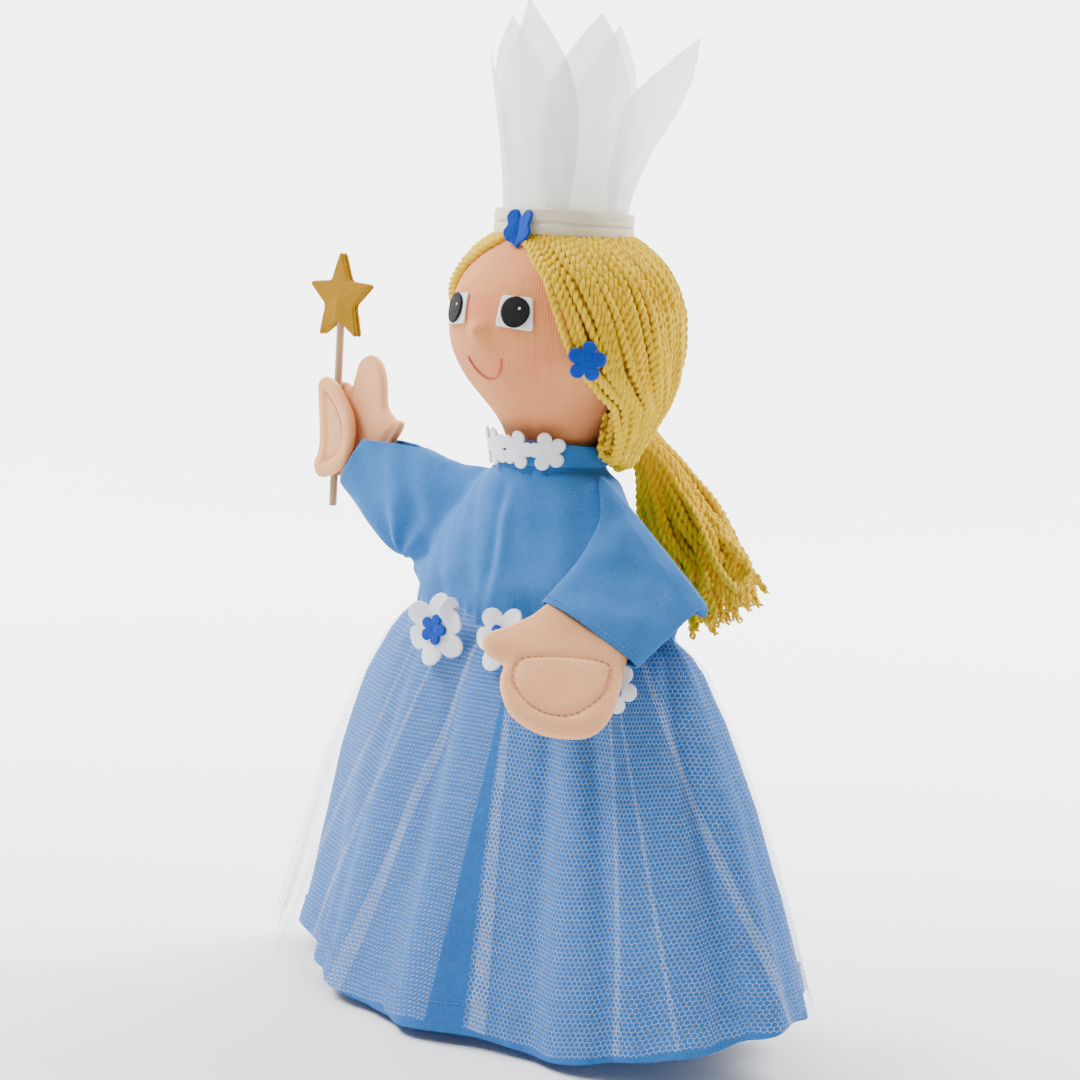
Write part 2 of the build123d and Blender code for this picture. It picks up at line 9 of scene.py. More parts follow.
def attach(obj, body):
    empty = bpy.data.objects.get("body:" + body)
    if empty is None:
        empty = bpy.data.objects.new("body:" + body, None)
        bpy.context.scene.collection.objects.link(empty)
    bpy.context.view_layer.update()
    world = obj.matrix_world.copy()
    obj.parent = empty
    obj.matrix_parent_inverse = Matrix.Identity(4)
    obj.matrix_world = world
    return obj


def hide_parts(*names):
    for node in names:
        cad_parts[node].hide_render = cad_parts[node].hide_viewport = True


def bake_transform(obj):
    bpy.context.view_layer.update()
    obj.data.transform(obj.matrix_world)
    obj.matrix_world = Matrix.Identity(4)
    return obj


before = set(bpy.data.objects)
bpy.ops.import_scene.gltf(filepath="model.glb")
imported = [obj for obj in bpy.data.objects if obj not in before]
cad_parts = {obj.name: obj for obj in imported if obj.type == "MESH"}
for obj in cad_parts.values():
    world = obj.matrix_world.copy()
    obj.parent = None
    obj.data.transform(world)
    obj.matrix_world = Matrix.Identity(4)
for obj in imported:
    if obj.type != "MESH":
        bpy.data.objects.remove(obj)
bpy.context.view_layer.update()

MM = 0.001
TAU = 2 * math.pi
rng = np.random.default_rng(7)
random.seed(7)


# ---------------------------------------------------------------------------
# small numeric helpers (all lengths in millimetres until a mesh is made)
# ---------------------------------------------------------------------------
def V3(*a):
    return np.array(a, float)


def unit(v):
    v = np.asarray(v, float)
    return v / np.maximum(np.linalg.norm(v, axis=-1, keepdims=True), 1e-12)


def lerp(a, b, t):
    return a + (b - a) * t


def smooth01(t):
    t = np.clip(t, 0, 1)
    return t * t * (3 - 2 * t)


def wob(P, size, seed, n=7):
    """Smooth pseudo noise in about -1..1 of points P, with features of that size."""
    r = np.random.default_rng(seed)
    out = np.zeros(P.shape[:-1])
    for _ in range(n):
        d = unit(r.normal(size=3)) * TAU / (size * r.uniform(1.2, 2.6))
        out = out + np.sin(P @ d + r.uniform(0, TAU))
    return out / (n ** 0.5) * 0.8


def interp_table(tab, z):
    tab = sorted(tab)
    zs = [a[0] for a in tab]
    return [np.interp(z, zs, [a[k] for a in tab]) for k in range(1, len(tab[0]))]


def spline(pts, n):
    """n points evenly spaced along a Catmull-Rom curve through pts."""
    pts = np.asarray(pts, float)
    if len(pts) == 2:
        t = np.linspace(0, 1, n)[:, None]
        return pts[0] * (1 - t) + pts[1] * t
    P = np.vstack([2 * pts[0] - pts[1], pts, 2 * pts[-1] - pts[-2]])
    res = []
    for i in range(len(pts) - 1):
        p0, p1, p2, p3 = P[i:i + 4]
        t = np.linspace(0, 1, 17)[:-1, None]
        res.append(0.5 * ((2 * p1) + (p2 - p0) * t + (2 * p0 - 5 * p1 + 4 * p2 - p3) * t ** 2 + (3 * p1 - p0 - 3 * p2 + p3) * t ** 3))
    res.append(pts[-1][None])
    q = np.vstack(res)
    s = np.concatenate([[0], np.cumsum(np.linalg.norm(np.diff(q, axis=0), axis=1))])
    u = np.linspace(0, s[-1], n)
    return np.stack([np.interp(u, s, q[:, k]) for k in range(q.shape[1])], 1)


def closed_spline(pts, n):
    pts = np.asarray(pts, float)
    m = len(pts)
    res = []
    for i in range(m):
        p0, p1, p2, p3 = pts[i - 1], pts[i], pts[(i + 1) % m], pts[(i + 2) % m]
        t = np.linspace(0, 1, 13)[:-1, None]
        res.append(0.5 * ((2 * p1) + (p2 - p0) * t + (2 * p0 - 5 * p1 + 4 * p2 - p3) * t ** 2 + (3 * p1 - p0 - 3 * p2 + p3) * t ** 3))
    q = np.vstack(res + [res[0][:1]])
    s = np.concatenate([[0], np.cumsum(np.linalg.norm(np.diff(q, axis=0), axis=1))])
    u = np.linspace(0, s[-1], n + 1)[:-1]
    return np.stack([np.interp(u, s, q[:, k]) for k in range(q.shape[1])], 1)


def round_poly(pts, r, n):
    """Closed polygon with rounded corners, n evenly spaced points. r is one radius or one per corner."""
    pts = np.asarray(pts, float)
    m = len(pts)
    rr = [r] * m if np.isscalar(r) else r
    res = []
    for i in range(m):
        a, b, c = pts[i - 1], pts[i], pts[(i + 1) % m]
        la, lc = np.linalg.norm(a - b), np.linalg.norm(c - b)
        d = min(rr[i], 0.45 * la, 0.45 * lc)
        p, q = b + (a - b) / la * d, b + (c - b) / lc * d
        t = np.linspace(0, 1, 9)[:, None]
        res.append(p * (1 - t) ** 2 + 2 * b * t * (1 - t) + q * t ** 2)
    q = np.vstack(res + [res[0][:1]])
    s = np.concatenate([[0], np.cumsum(np.linalg.norm(np.diff(q, axis=0), axis=1))])
    u = np.linspace(0, s[-1], n + 1)[:-1]
    return np.stack([np.interp(u, s, q[:, k]) for k in range(2)], 1)


# ---------------------------------------------------------------------------
# meshes
# ---------------------------------------------------------------------------
def mesh(name, verts, faces, mat, uv=None, col=None, smooth=True):
    me = bpy.data.meshes.new(name)
    me.from_pydata((np.asarray(verts) * MM).tolist(), [], [tuple(int(i) for i in f) for f in faces])
    me.update()
    if uv is not None:
        layer = me.uv_layers.new(name="UVMap")
        loops = np.zeros(len(me.loops), np.int32)
        me.loops.foreach_get("vertex_index", loops)
        layer.data.foreach_set("uv", (np.asarray(uv, np.float32) * MM)[loops].ravel())
    # col is stored per vertex as the painted shade factor that the yarn material darkens by
    if col is not None:
        at = me.attributes.new("painted_shade", "FLOAT", "POINT")
        at.data.foreach_set("value", np.asarray(col, np.float32))
    if smooth:
        me.shade_smooth()
    ob = bpy.data.objects.new(name, me)
    bpy.context.scene.collection.objects.link(ob)
    if mat is not None:
        me.materials.append(mat)
    return ob


def grid_faces(nu, nv, closed_u=False, closed_v=False, base=0):
    """Quads of a grid whose vertex (i, j) is number i*nv+j."""
    iu = np.arange(nu if closed_u else nu - 1)
    jv = np.arange(nv if closed_v else nv - 1)
    I, J = np.meshgrid(iu, jv, indexing="ij")
    I2, J2 = (I + 1) % nu, (J + 1) % nv
    f = np.stack([I * nv + J, I2 * nv + J, I2 * nv + J2, I * nv + J2], -1).reshape(-1, 4) + base
    return f


def grid(name, P, mat, uv=None, closed_u=False, closed_v=False, col=None):
    """P has shape (nu, nv, 3); uv has shape (nu, nv, 2). A closed grid repeats its first row, so UVs don't wrap."""
    nu, nv = P.shape[:2]
    if uv is None:
        du = np.linalg.norm(np.diff(P, axis=0), axis=2)
        u = np.vstack([np.zeros((1, nv)), np.cumsum(du, 0)])
        dv = np.linalg.norm(np.diff(P, axis=1), axis=2)
        v = np.hstack([np.zeros((nu, 1)), np.cumsum(dv, 1)])
        uv = np.stack([u, v], -1)
    return mesh(name, P.reshape(-1, 3), grid_faces(nu, nv, closed_u, closed_v), mat, uv.reshape(-1, 2),
                None if col is None else col.reshape(-1))


def frames_along(path):
    """Parallel transported normals of one path or a batch of paths (..., n, 3)."""
    T = np.gradient(path, axis=-2)
    T = unit(T)
    n = path.shape[-2]
    A = np.zeros_like(path)
    t0 = T[..., 0, :]
    ref = np.where(np.abs(t0[..., 2:3]) < 0.8, np.array([0, 0, 1.0]), np.array([1.0, 0, 0]))
    a = unit(np.cross(t0, ref))
    A[..., 0, :] = a
    for i in range(1, n):
        t = T[..., i, :]
        a = unit(a - (a * t).sum(-1, keepdims=True) * t)
        A[..., i, :] = a
    return T, A, np.cross(T, A)


def tubes(name, paths, radius, mat, sides=6, col=None, caps=True):
    """One mesh of many round tubes. paths (k, n, 3); radius a number or (k, n)."""
    paths = np.asarray(paths, float)
    if paths.ndim == 2:
        paths = paths[None]
    k, n = paths.shape[:2]
    r = np.broadcast_to(np.asarray(radius, float), (k, n))
    T, A, B = frames_along(paths)
    ang = np.arange(sides + 1) * TAU / sides
    P = paths[:, :, None] + r[:, :, None, None] * (A[:, :, None] * np.cos(ang)[None, None, :, None] + B[:, :, None] * np.sin(ang)[None, None, :, None])
    s = np.concatenate([np.zeros((k, 1)), np.cumsum(np.linalg.norm(np.diff(paths, axis=1), axis=2), 1)], 1)
    uv = np.zeros((k, n, sides + 1, 2))
    uv[..., 0] = s[:, :, None] + np.arange(k)[:, None, None] * 13.7
    uv[..., 1] = (ang * np.mean(r))[None, None]
    f0 = grid_faces(n, sides + 1)
    faces = (f0[None] + (np.arange(k) * n * (sides + 1))[:, None, None]).reshape(-1, 4).tolist()
    verts = P.reshape(-1, 3)
    uvs = uv.reshape(-1, 2)
    if caps:
        extra, euv = [], []
        base = len(verts)
        for i in range(k):
            for end, j in ((0, 0), (1, n - 1)):
                c = paths[i, j] + (T[i, j] * (0.45 if end else -0.45)) * r[i, j]
                extra.append(c)
                euv.append(uvs[i * n * (sides + 1) + j * (sides + 1)])
                ci = base + len(extra) - 1
                o = (i * n + j) * (sides + 1)
                for q in range(sides):
                    faces.append((o + q, o + q + 1, ci) if end else (o + q + 1, o + q, ci))
        verts = np.vstack([verts, extra])
        uvs = np.vstack([uvs, euv])
    c = None
    if col is not None:
        c = np.repeat(np.asarray(col, float), n * (sides + 1))
        if caps:
            c = np.concatenate([c, np.repeat(np.asarray(col, float), 2)])
    return mesh(name, verts, faces, mat, uvs, c)


def plate(name, outline, to3d, thick, mat, bulge=0.0, edge_r=None, rings=10, seed=1, fuzz=0.0, both=True, dimple=None, wave=0.0):
    """A soft flat piece. outline (n, 2) closed; to3d(xy, h) places local points; thick is its thickness.
    The face rises by bulge towards the middle and rolls over at the edge like cut cloth or a sewn seam."""
    outline = np.asarray(outline, float)
    n = len(outline)
    cen = outline.mean(0)
    # distance of inward copies to the outline; the copies shrink towards the outline's centre
    er = thick / 2 if edge_r is None else edge_r
    t = np.concatenate([np.linspace(0, 0.22, rings // 2, endpoint=False), np.linspace(0.22, 1, rings - rings // 2)])
    nxt, prv = np.roll(outline, -1, 0), np.roll(outline, 1, 0)
    tang = unit(nxt - prv)
    area = 0.5 * np.sum(outline[:, 0] * nxt[:, 1] - nxt[:, 0] * outline[:, 1])
    nrm = np.stack([-tang[:, 1], tang[:, 0]], 1) * (1 if area > 0 else -1)
    def ring(k):
        p = outline + (cen - outline) * k
        return p
    def dist(p):
        a, b = outline, nxt
        ab = b - a
        L2 = (ab ** 2).sum(1)
        res = np.full(len(p), 1e9)
        for i in range(0, len(p), 400):
            q = p[i:i + 400, None] - a[None]
            s = np.clip((q * ab[None]).sum(2) / L2, 0, 1)
            d = np.linalg.norm(q - s[..., None] * ab[None], axis=2).min(1)
            res[i:i + 400] = d
        return res
    verts, uvs = [], []
    layers = []
    for side in (1, -1):
        for k in t:
            p = ring(k)
            if k == 0 and side == -1:
                continue
            d = dist(p) if k > 0 else np.zeros(n)
            h = np.where(d < er, np.sqrt(np.maximum(er ** 2 - (er - d) ** 2, 0)), er) * (thick / 2) / er
            if bulge:
                h = h + bulge * (1 - np.exp(-np.maximum(d - er, 0) / 3.2))
            if dimple is not None:
                h = h + dimple(p, side, d)
            layers.append((side, k, p, h * side))
    out = []
    for side, k, p, h in layers:
        q = np.column_stack([p, np.zeros(n)])
        hh = h + fuzz * wob(q * 1.0, 1.6, seed) * (1 if k > 0 else 0)
        if wave:
            hh = hh + wave * wob(q, 14, seed + 5)
        out.append(to3d(p, hh))
        uvs.append(p)
    m = len(t)
    verts = np.vstack(out)
    uv = np.vstack(uvs)
    faces = []
    def band(a, b, flip):
        for i in range(n):
            j = (i + 1) % n
            f = (a * n + i, a * n + j, b * n + j, b * n + i)
            faces.append(f[::-1] if flip else f)
    ccw = area > 0
    for r in range(m - 1):
        last = r == m - 2
        if not last:
            band(r, r + 1, not ccw)
    # centre fan, top
    verts_c = [to3d(cen[None], np.array([np.mean(layers[m - 1][3])]))[0]]
    ci = len(verts)
    for i in range(n):
        j = (i + 1) % n
        f = ((m - 2) * n + i, (m - 2) * n + j, ci)
        faces.append(f if ccw else f[::-1])
    # bottom: ring 0 is shared with the top
    off = m
    prev = 0
    for r in range(1, m - 1):
        cur = off + r - 1
        band(prev, cur, ccw)
        prev = cur
    verts_c.append(to3d(cen[None], np.array([np.mean(layers[-1][3])]))[0])
    ci2 = ci + 1
    for i in range(n):
        j = (i + 1) % n
        f = (prev * n + i, prev * n + j, ci2)
        faces.append(f[::-1] if ccw else f)
    verts = np.vstack([verts, verts_c])
    uv = np.vstack([uv, [cen, cen]])
    return mesh(name, verts, faces, mat, uv)


def join(name, objs):
    """Joins objects into the first one."""
    objs = [o for o in objs if o is not None]
    bpy.ops.object.select_all(action="DESELECT")
    for o in objs:
        o.select_set(True)
    bpy.context.view_layer.objects.active = objs[0]
    bpy.ops.object.join()
    objs[0].name = name
    objs[0].data.name = name
    return objs[0]


def arc(a, z, r, cy=0.0):
    """Point at azimuth a degrees (0 = front, + = left hand), height z, radius r."""
    a = np.radians(a)
    a, z, r = np.broadcast_arrays(a, z, r)
    return np.stack([r * np.sin(a), cy - r * np.cos(a), z], -1)


# ---------------------------------------------------------------------------
# node materials
# ---------------------------------------------------------------------------
def srgb(r, g, b):
    f = lambda c: c / 12.92 if c <= 0.04045 else ((c + 0.055) / 1.055) ** 2.4
    return (f(r / 255), f(g / 255), f(b / 255), 1.0)


class Nodes:
    def __init__(self, name):
        self.m = bpy.data.materials.new(name)
        self.m.use_nodes = True
        self.t = self.m.node_tree
        self.t.nodes.clear()
        self.out = self.t.nodes.new("ShaderNodeOutputMaterial")

    def n(self, kind, **kw):
        nd = self.t.nodes.new(kind)
        for k, v in kw.items():
            setattr(nd, k, v)
        return nd

    def link(self, a, b):
        self.t.links.new(a, b)

    def put(self, sock, v):
        if isinstance(v, bpy.types.NodeSocket):
            self.t.links.new(v, sock)
        elif v is not None:
            sock.default_value = v

    def uv(self):
        return self.n("ShaderNodeTexCoord").outputs["UV"]

    def obj(self):
        return self.n("ShaderNodeTexCoord").outputs["Object"]

    def map(self, v, scale, rot=(0, 0, 0), loc=(0, 0, 0)):
        nd = self.n("ShaderNodeMapping")
        self.link(v, nd.inputs["Vector"])
        nd.inputs["Scale"].default_value = scale
        nd.inputs["Rotation"].default_value = rot
        nd.inputs["Location"].default_value = loc
        return nd.outputs[0]

    def noise(self, v, scale, detail=3.0, rough=0.55, dist=0.0):
        nd = self.n("ShaderNodeTexNoise")
        self.link(v, nd.inputs["Vector"])
        nd.inputs["Scale"].default_value = scale
        nd.inputs["Detail"].default_value = detail
        nd.inputs["Roughness"].default_value = rough
        nd.inputs["Distortion"].default_value = dist
        return nd.outputs["Fac"]

    def math(self, op, a, b=None, c=None, clamp=False):
        nd = self.n("ShaderNodeMath", operation=op)
        nd.use_clamp = clamp
        for i, v in enumerate((a, b, c)):
            if v is not None:
                self.put(nd.inputs[i], v)
        return nd.outputs[0]

    def vmath(self, op, a, b=None, scale=None):
        nd = self.n("ShaderNodeVectorMath", operation=op)
        self.put(nd.inputs[0], a)
        if b is not None:
            self.put(nd.inputs[1], b)
        if scale is not None:
            self.put(nd.inputs["Scale"], scale)
        return nd.outputs["Value"] if op in ("LENGTH", "DISTANCE", "DOT_PRODUCT") else nd.outputs["Vector"]

    def sep(self, v):
        nd = self.n("ShaderNodeSeparateXYZ")
        self.link(v, nd.inputs[0])
        return nd.outputs

    def comb(self, x, y, z=0.0):
        nd = self.n("ShaderNodeCombineXYZ")
        for i, v in enumerate((x, y, z)):
            self.put(nd.inputs[i], v)
        return nd.outputs[0]

    def rng(self, v, a, b, c=0.0, d=1.0):
        nd = self.n("ShaderNodeMapRange")
        self.link(v, nd.inputs[0])
        for i, q in zip((1, 2, 3, 4), (a, b, c, d)):
            nd.inputs[i].default_value = q
        return nd.outputs[0]

    def mix(self, fac, a, b, mode="MIX"):
        nd = self.n("ShaderNodeMix", data_type="RGBA", blend_type=mode)
        nd.clamp_factor = True
        self.put(nd.inputs[0], fac)
        self.put(nd.inputs[6], a)
        self.put(nd.inputs[7], b)
        return nd.outputs[2]

    def attr(self, name):
        nd = self.n("ShaderNodeAttribute", attribute_name=name)
        return nd.outputs["Fac"]

    def bump(self, height, dist, strength=1.0, normal=None):
        nd = self.n("ShaderNodeBump")
        nd.inputs["Strength"].default_value = strength
        nd.inputs["Distance"].default_value = dist
        self.link(height, nd.inputs["Height"])
        if normal is not None:
            self.link(normal, nd.inputs["Normal"])
        return nd.outputs[0]

    def bsdf(self, color, rough=0.85, normal=None, sheen=0.0, spec=0.3, sss=0.0, coat=0.0, sheen_rough=0.5, coat_rough=0.1):
        nd = self.n("ShaderNodeBsdfPrincipled")
        self.put(nd.inputs["Base Color"], color)
        self.put(nd.inputs["Roughness"], rough)
        nd.inputs["Specular IOR Level"].default_value = spec
        nd.inputs["Sheen Weight"].default_value = sheen
        nd.inputs["Sheen Roughness"].default_value = sheen_rough
        nd.inputs["Coat Weight"].default_value = coat
        nd.inputs["Coat Roughness"].default_value = coat_rough
        if normal is not None:
            self.link(normal, nd.inputs["Normal"])
        return nd.outputs[0]

    def done(self, shader):
        self.link(shader, self.out.inputs["Surface"])
        return self.m


def weave_height(N, uv, pitch):
    """Plain weave: warp and weft threads that pass over each other, of that pitch in metres."""
    x, y, _ = N.sep(uv)
    u = N.math("MULTIPLY", x, math.pi / pitch)
    v = N.math("MULTIPLY", y, math.pi / pitch)
    su, sv = N.math("SINE", u), N.math("SINE", v)
    a = N.math("MULTIPLY", N.math("ABSOLUTE", su), N.math("ADD", N.math("MULTIPLY", N.math("COSINE", v), 0.5), 0.5))
    b = N.math("MULTIPLY", N.math("ABSOLUTE", sv), N.math("SUBTRACT", 0.5, N.math("MULTIPLY", N.math("COSINE", u), 0.5)))
    return N.math("MAXIMUM", a, b)


def cloth_material(name, base, dark, light, pitch=0.00045, slub=0.5, sheen=0.25, rough=0.82):
    N = Nodes(name)
    uv = N.uv()
    w = weave_height(N, uv, pitch)
    s1 = N.noise(N.map(uv, (260, 3600, 1)), 1.0, 3.0)
    s2 = N.noise(N.map(uv, (3600, 260, 1), loc=(3, 7, 0)), 1.0, 3.0)
    slubs = N.math("MULTIPLY", N.math("ADD", s1, s2), 0.5)
    big = N.noise(uv, 38.0, 3.0)
    c = N.mix(N.rng(slubs, 0.38, 0.62), dark, light)
    c = N.mix(0.62, c, base)
    c = N.mix(N.rng(big, 0.3, 0.7, 0.0, 0.30), c, dark)
    c = N.mix(N.rng(w, 0.0, 0.6, 0.30, 0.0), c, dark)
    h = N.math("ADD", N.math("MULTIPLY", w, 0.7), N.math("MULTIPLY", slubs, slub))
    nr = N.bump(h, 0.00012, 0.65)
    return N.done(N.bsdf(c, N.rng(slubs, 0.3, 0.7, rough - 0.06, rough + 0.08), nr, sheen=sheen, spec=0.2))


def felt_material(name, base, dark, light, fuzz=1.0, sheen=0.5):
    N = Nodes(name)
    o = N.obj()
    f1 = N.noise(N.map(o, (1500, 1500, 1500)), 1.0, 5.0, 0.7, 1.2)
    f2 = N.noise(N.map(o, (5200, 1300, 3800), rot=(0.5, 0.9, 0.3)), 1.0, 3.0, 0.6, 2.0)
    f3 = N.noise(o, 130.0, 2.0)
    c = N.mix(N.rng(f1, 0.35, 0.68), dark, light)
    c = N.mix(0.55, c, base)
    c = N.mix(N.rng(f3, 0.3, 0.7, 0.0, 0.25), c, light)
    h = N.math("ADD", f1, N.math("MULTIPLY", f2, 0.7))
    nr = N.bump(h, 0.00028 * fuzz, 0.8)
    return N.done(N.bsdf(c, 0.93, nr, sheen=sheen, spec=0.1, sheen_rough=0.6))


def knit_material(name):
    """Fine stockinette: vertical wales of small V stitches, in U (round the head) and V (up)."""
    N = Nodes(name)
    uv = N.uv()
    x, y, _ = N.sep(uv)
    P, Q = 0.00095, 0.00062
    fx = N.math("FRACT", N.math("DIVIDE", x, P))
    d = N.math("ABSOLUTE", N.math("SUBTRACT", fx, 0.5))
    leg = N.math("SINE", N.math("MULTIPLY", N.math("ADD", N.math("DIVIDE", y, Q), N.math("MULTIPLY", d, 1.6)), TAU))
    rib = N.math("COSINE", N.math("MULTIPLY", N.math("SUBTRACT", fx, 0.5), TAU))
    wale = N.noise(N.map(uv, (1050, 22, 1)), 1.0, 2.0)
    h = N.math("ADD", N.math("MULTIPLY", rib, 0.55), N.math("MULTIPLY", leg, 0.18))
    h = N.math("ADD", h, N.math("MULTIPLY", wale, 0.9))
    o = N.obj()
    base = N.mix(N.rng(N.noise(o, 42.0, 3.0), 0.3, 0.7), srgb(234, 156, 98), srgb(218, 136, 82))
    base = N.mix(N.rng(wale, 0.35, 0.65, 0.28, 0.0), base, srgb(200, 124, 78))
    base = N.mix(N.rng(rib, -1.0, 0.2, 0.22, 0.0), base, srgb(192, 118, 74))
    def blush(c, r, s, colour, amount):
        dd = N.vmath("DISTANCE", o, c)
        return N.mix(N.rng(dd, r * 0.15, r, amount, 0.0), s, colour)
    base = blush((0.0195, -0.0305, 0.0335), 0.0095, base, srgb(226, 104, 82), 0.50)
    base = blush((-0.0195, -0.0305, 0.0335), 0.0095, base, srgb(226, 104, 82), 0.50)
    base = blush((0.003, -0.0350, 0.0505), 0.0075, base, srgb(226, 104, 80), 0.42)
    base = blush((-0.003, -0.0350, 0.0505), 0.0075, base, srgb(226, 104, 80), 0.34)
    nr = N.bump(h, 0.00016, 0.55)
    return N.done(N.bsdf(base, 0.78, nr, sheen=0.08, spec=0.18))


def soft_cloth_material(name, base, dark, light):
    """Brushed, dense jersey of the hands."""
    N = Nodes(name)
    o = N.obj()
    uv = N.uv()
    w = weave_height(N, uv, 0.00050)
    f = N.noise(N.map(o, (2300, 2300, 2300)), 1.0, 4.0, 0.65, 0.8)
    g = N.noise(o, 60.0, 3.0)
    c = N.mix(N.rng(f, 0.35, 0.68), dark, light)
    c = N.mix(0.6, c, base)
    c = N.mix(N.rng(g, 0.32, 0.7, 0.0, 0.30), c, light)
    h = N.math("ADD", N.math("MULTIPLY", f, 0.8), N.math("MULTIPLY", w, 0.35))
    nr = N.bump(h, 0.00018, 0.65)
    return N.done(N.bsdf(c, 0.9, nr, sheen=0.10, spec=0.12))


def yarn_material(name):
    N = Nodes(name)
    uv = N.uv()
    o = N.obj()
    f = N.noise(N.map(uv, (350, 5200, 1)), 1.0, 4.0, 0.7, 0.6)
    g = N.noise(o, 210.0, 3.0, 0.6)
    sh = N.attr("painted_shade")
    c = N.mix(N.rng(f, 0.33, 0.68), srgb(222, 168, 2), srgb(252, 224, 16))
    c = N.mix(N.rng(g, 0.3, 0.7, 0.0, 0.35), c, srgb(240, 194, 4))
    # painted shade: strands with a higher shade value are mixed toward this dark yellow, standing for the shade inside
    # the hair
    c = N.mix(N.math("MULTIPLY", sh, 0.55), c, srgb(150, 104, 0))
    nr = N.bump(N.math("ADD", f, N.math("MULTIPLY", g, 0.5)), 0.00022, 0.8)
    return N.done(N.bsdf(c, 0.85, nr, sheen=0.12, spec=0.12))


def sheer_material(name, tint, cover, pitch, line):
    """Stiff organza: two sets of fine threads with small gaps between them."""
    N = Nodes(name)
    uv = N.uv()
    x, y, _ = N.sep(uv)
    tx = N.math("ABSOLUTE", N.math("SINE", N.math("MULTIPLY", x, math.pi / pitch)))
    ty = N.math("ABSOLUTE", N.math("SINE", N.math("MULTIPLY", y, math.pi / pitch)))
    t = N.math("MAXIMUM", tx, ty)
    moire = N.noise(N.map(uv, (60, 900, 1)), 1.0, 2.0)
    moire2 = N.noise(N.map(uv, (34, 34, 1)), 1.0, 2.0)
    fac = N.rng(t, 0.35, 1.0, cover - line, cover + line)
    fac = N.math("ADD", fac, N.rng(moire, 0.3, 0.7, -0.035, 0.035), clamp=True)
    fac = N.math("ADD", fac, N.rng(moire2, 0.3, 0.7, -0.03, 0.03), clamp=True)
    nr = N.bump(t, 0.00005, 0.4)
    dif = N.bsdf(N.mix(N.rng(moire, 0.3, 0.7), tint, (tint[0] * 0.93, tint[1] * 0.93, tint[2] * 0.94, 1)), 0.55, nr, sheen=0.2, spec=0.35)
    tl = N.n("ShaderNodeBsdfTranslucent")
    tl.inputs["Color"].default_value = tint
    tr = N.n("ShaderNodeBsdfTransparent")
    m1 = N.n("ShaderNodeMixShader")
    m1.inputs[0].default_value = 0.42
    N.link(dif, m1.inputs[1])
    N.link(tl.outputs[0], m1.inputs[2])
    m2 = N.n("ShaderNodeMixShader")
    N.link(fac, m2.inputs[0])
    N.link(tr.outputs[0], m2.inputs[1])
    N.link(m1.outputs[0], m2.inputs[2])
    return N.done(m2.outputs[0])


def net_material(name, pitch, wire, tint):
    """Hexagonal bobbin net: only the threads are there, the cells are open."""
    N = Nodes(name)
    uv = N.uv()
    x, y, _ = N.sep(uv)
    px, py = N.math("DIVIDE", x, pitch), N.math("DIVIDE", y, pitch * 1.08)
    r3 = math.sqrt(3.0)
    def cell(ox, oy):
        a = N.math("SUBTRACT", N.math("FLOORED_MODULO", N.math("ADD", px, ox), 1.0), 0.5)
        b = N.math("SUBTRACT", N.math("FLOORED_MODULO", N.math("ADD", py, oy), r3), r3 / 2)
        a, b = N.math("ABSOLUTE", a), N.math("ABSOLUTE", b)
        return N.math("MAXIMUM", a, N.math("ADD", N.math("MULTIPLY", a, 0.5), N.math("MULTIPLY", b, r3 / 2)))
    hexd = N.math("MINIMUM", cell(0.0, 0.0), cell(0.5, r3 / 2))
    edge = N.rng(hexd, 0.5 - wire, 0.5 - wire * 0.45, 0.0, 1.0)
    irr = N.noise(N.map(uv, (260, 260, 1)), 1.0, 2.0)
    fac = N.math("MULTIPLY", edge, N.rng(irr, 0.25, 0.75, 0.36, 0.62))
    fac = N.math("ADD", fac, 0.015, clamp=True)
    dif = N.bsdf(tint, 0.6, None, sheen=0.3, spec=0.3)
    tl = N.n("ShaderNodeBsdfTranslucent")
    tl.inputs["Color"].default_value = tint
    tr = N.n("ShaderNodeBsdfTransparent")
    m1 = N.n("ShaderNodeMixShader")
    m1.inputs[0].default_value = 0.3
    N.link(dif, m1.inputs[1])
    N.link(tl.outputs[0], m1.inputs[2])
    m2 = N.n("ShaderNodeMixShader")
    N.link(fac, m2.inputs[0])
    N.link(tr.outputs[0], m2.inputs[1])
    N.link(m1.outputs[0], m2.inputs[2])
    return N.done(m2.outputs[0])


def wood_material(name):
    N = Nodes(name)
    o = N.obj()
    g = N.noise(N.map(o, (1700, 1700, 42)), 1.0, 4.0, 0.6, 0.8)
    f = N.noise(N.map(o, (5200, 5200, 160)), 1.0, 3.0, 0.6)
    k = N.noise(N.map(o, (60, 60, 60)), 1.0, 2.0)
    c = N.mix(N.rng(g, 0.3, 0.7), srgb(150, 120, 92), srgb(196, 166, 132))
    c = N.mix(N.rng(f, 0.5, 0.75, 0.0, 0.55), c, srgb(116, 88, 62))
    c = N.mix(N.rng(k, 0.3, 0.7, 0.0, 0.3), c, srgb(176, 146, 112))
    nr = N.bump(N.math("ADD", g, f), 0.00009, 0.7)
    return N.done(N.bsdf(c, N.rng(f, 0.3, 0.7, 0.55, 0.75), nr, spec=0.3))


def thread_material(name, base, dark):
    N = Nodes(name)
    uv = N.uv()
    x, y, _ = N.sep(uv)
    tw = N.math("SINE", N.math("ADD", N.math("MULTIPLY", x, 9000.0), N.math("MULTIPLY", y, 5000.0)))
    c = N.mix(N.rng(tw, -1.0, 1.0), dark, base)
    nr = N.bump(tw, 0.00006, 0.8)
    return N.done(N.bsdf(c, 0.7, nr, sheen=0.3, spec=0.25))


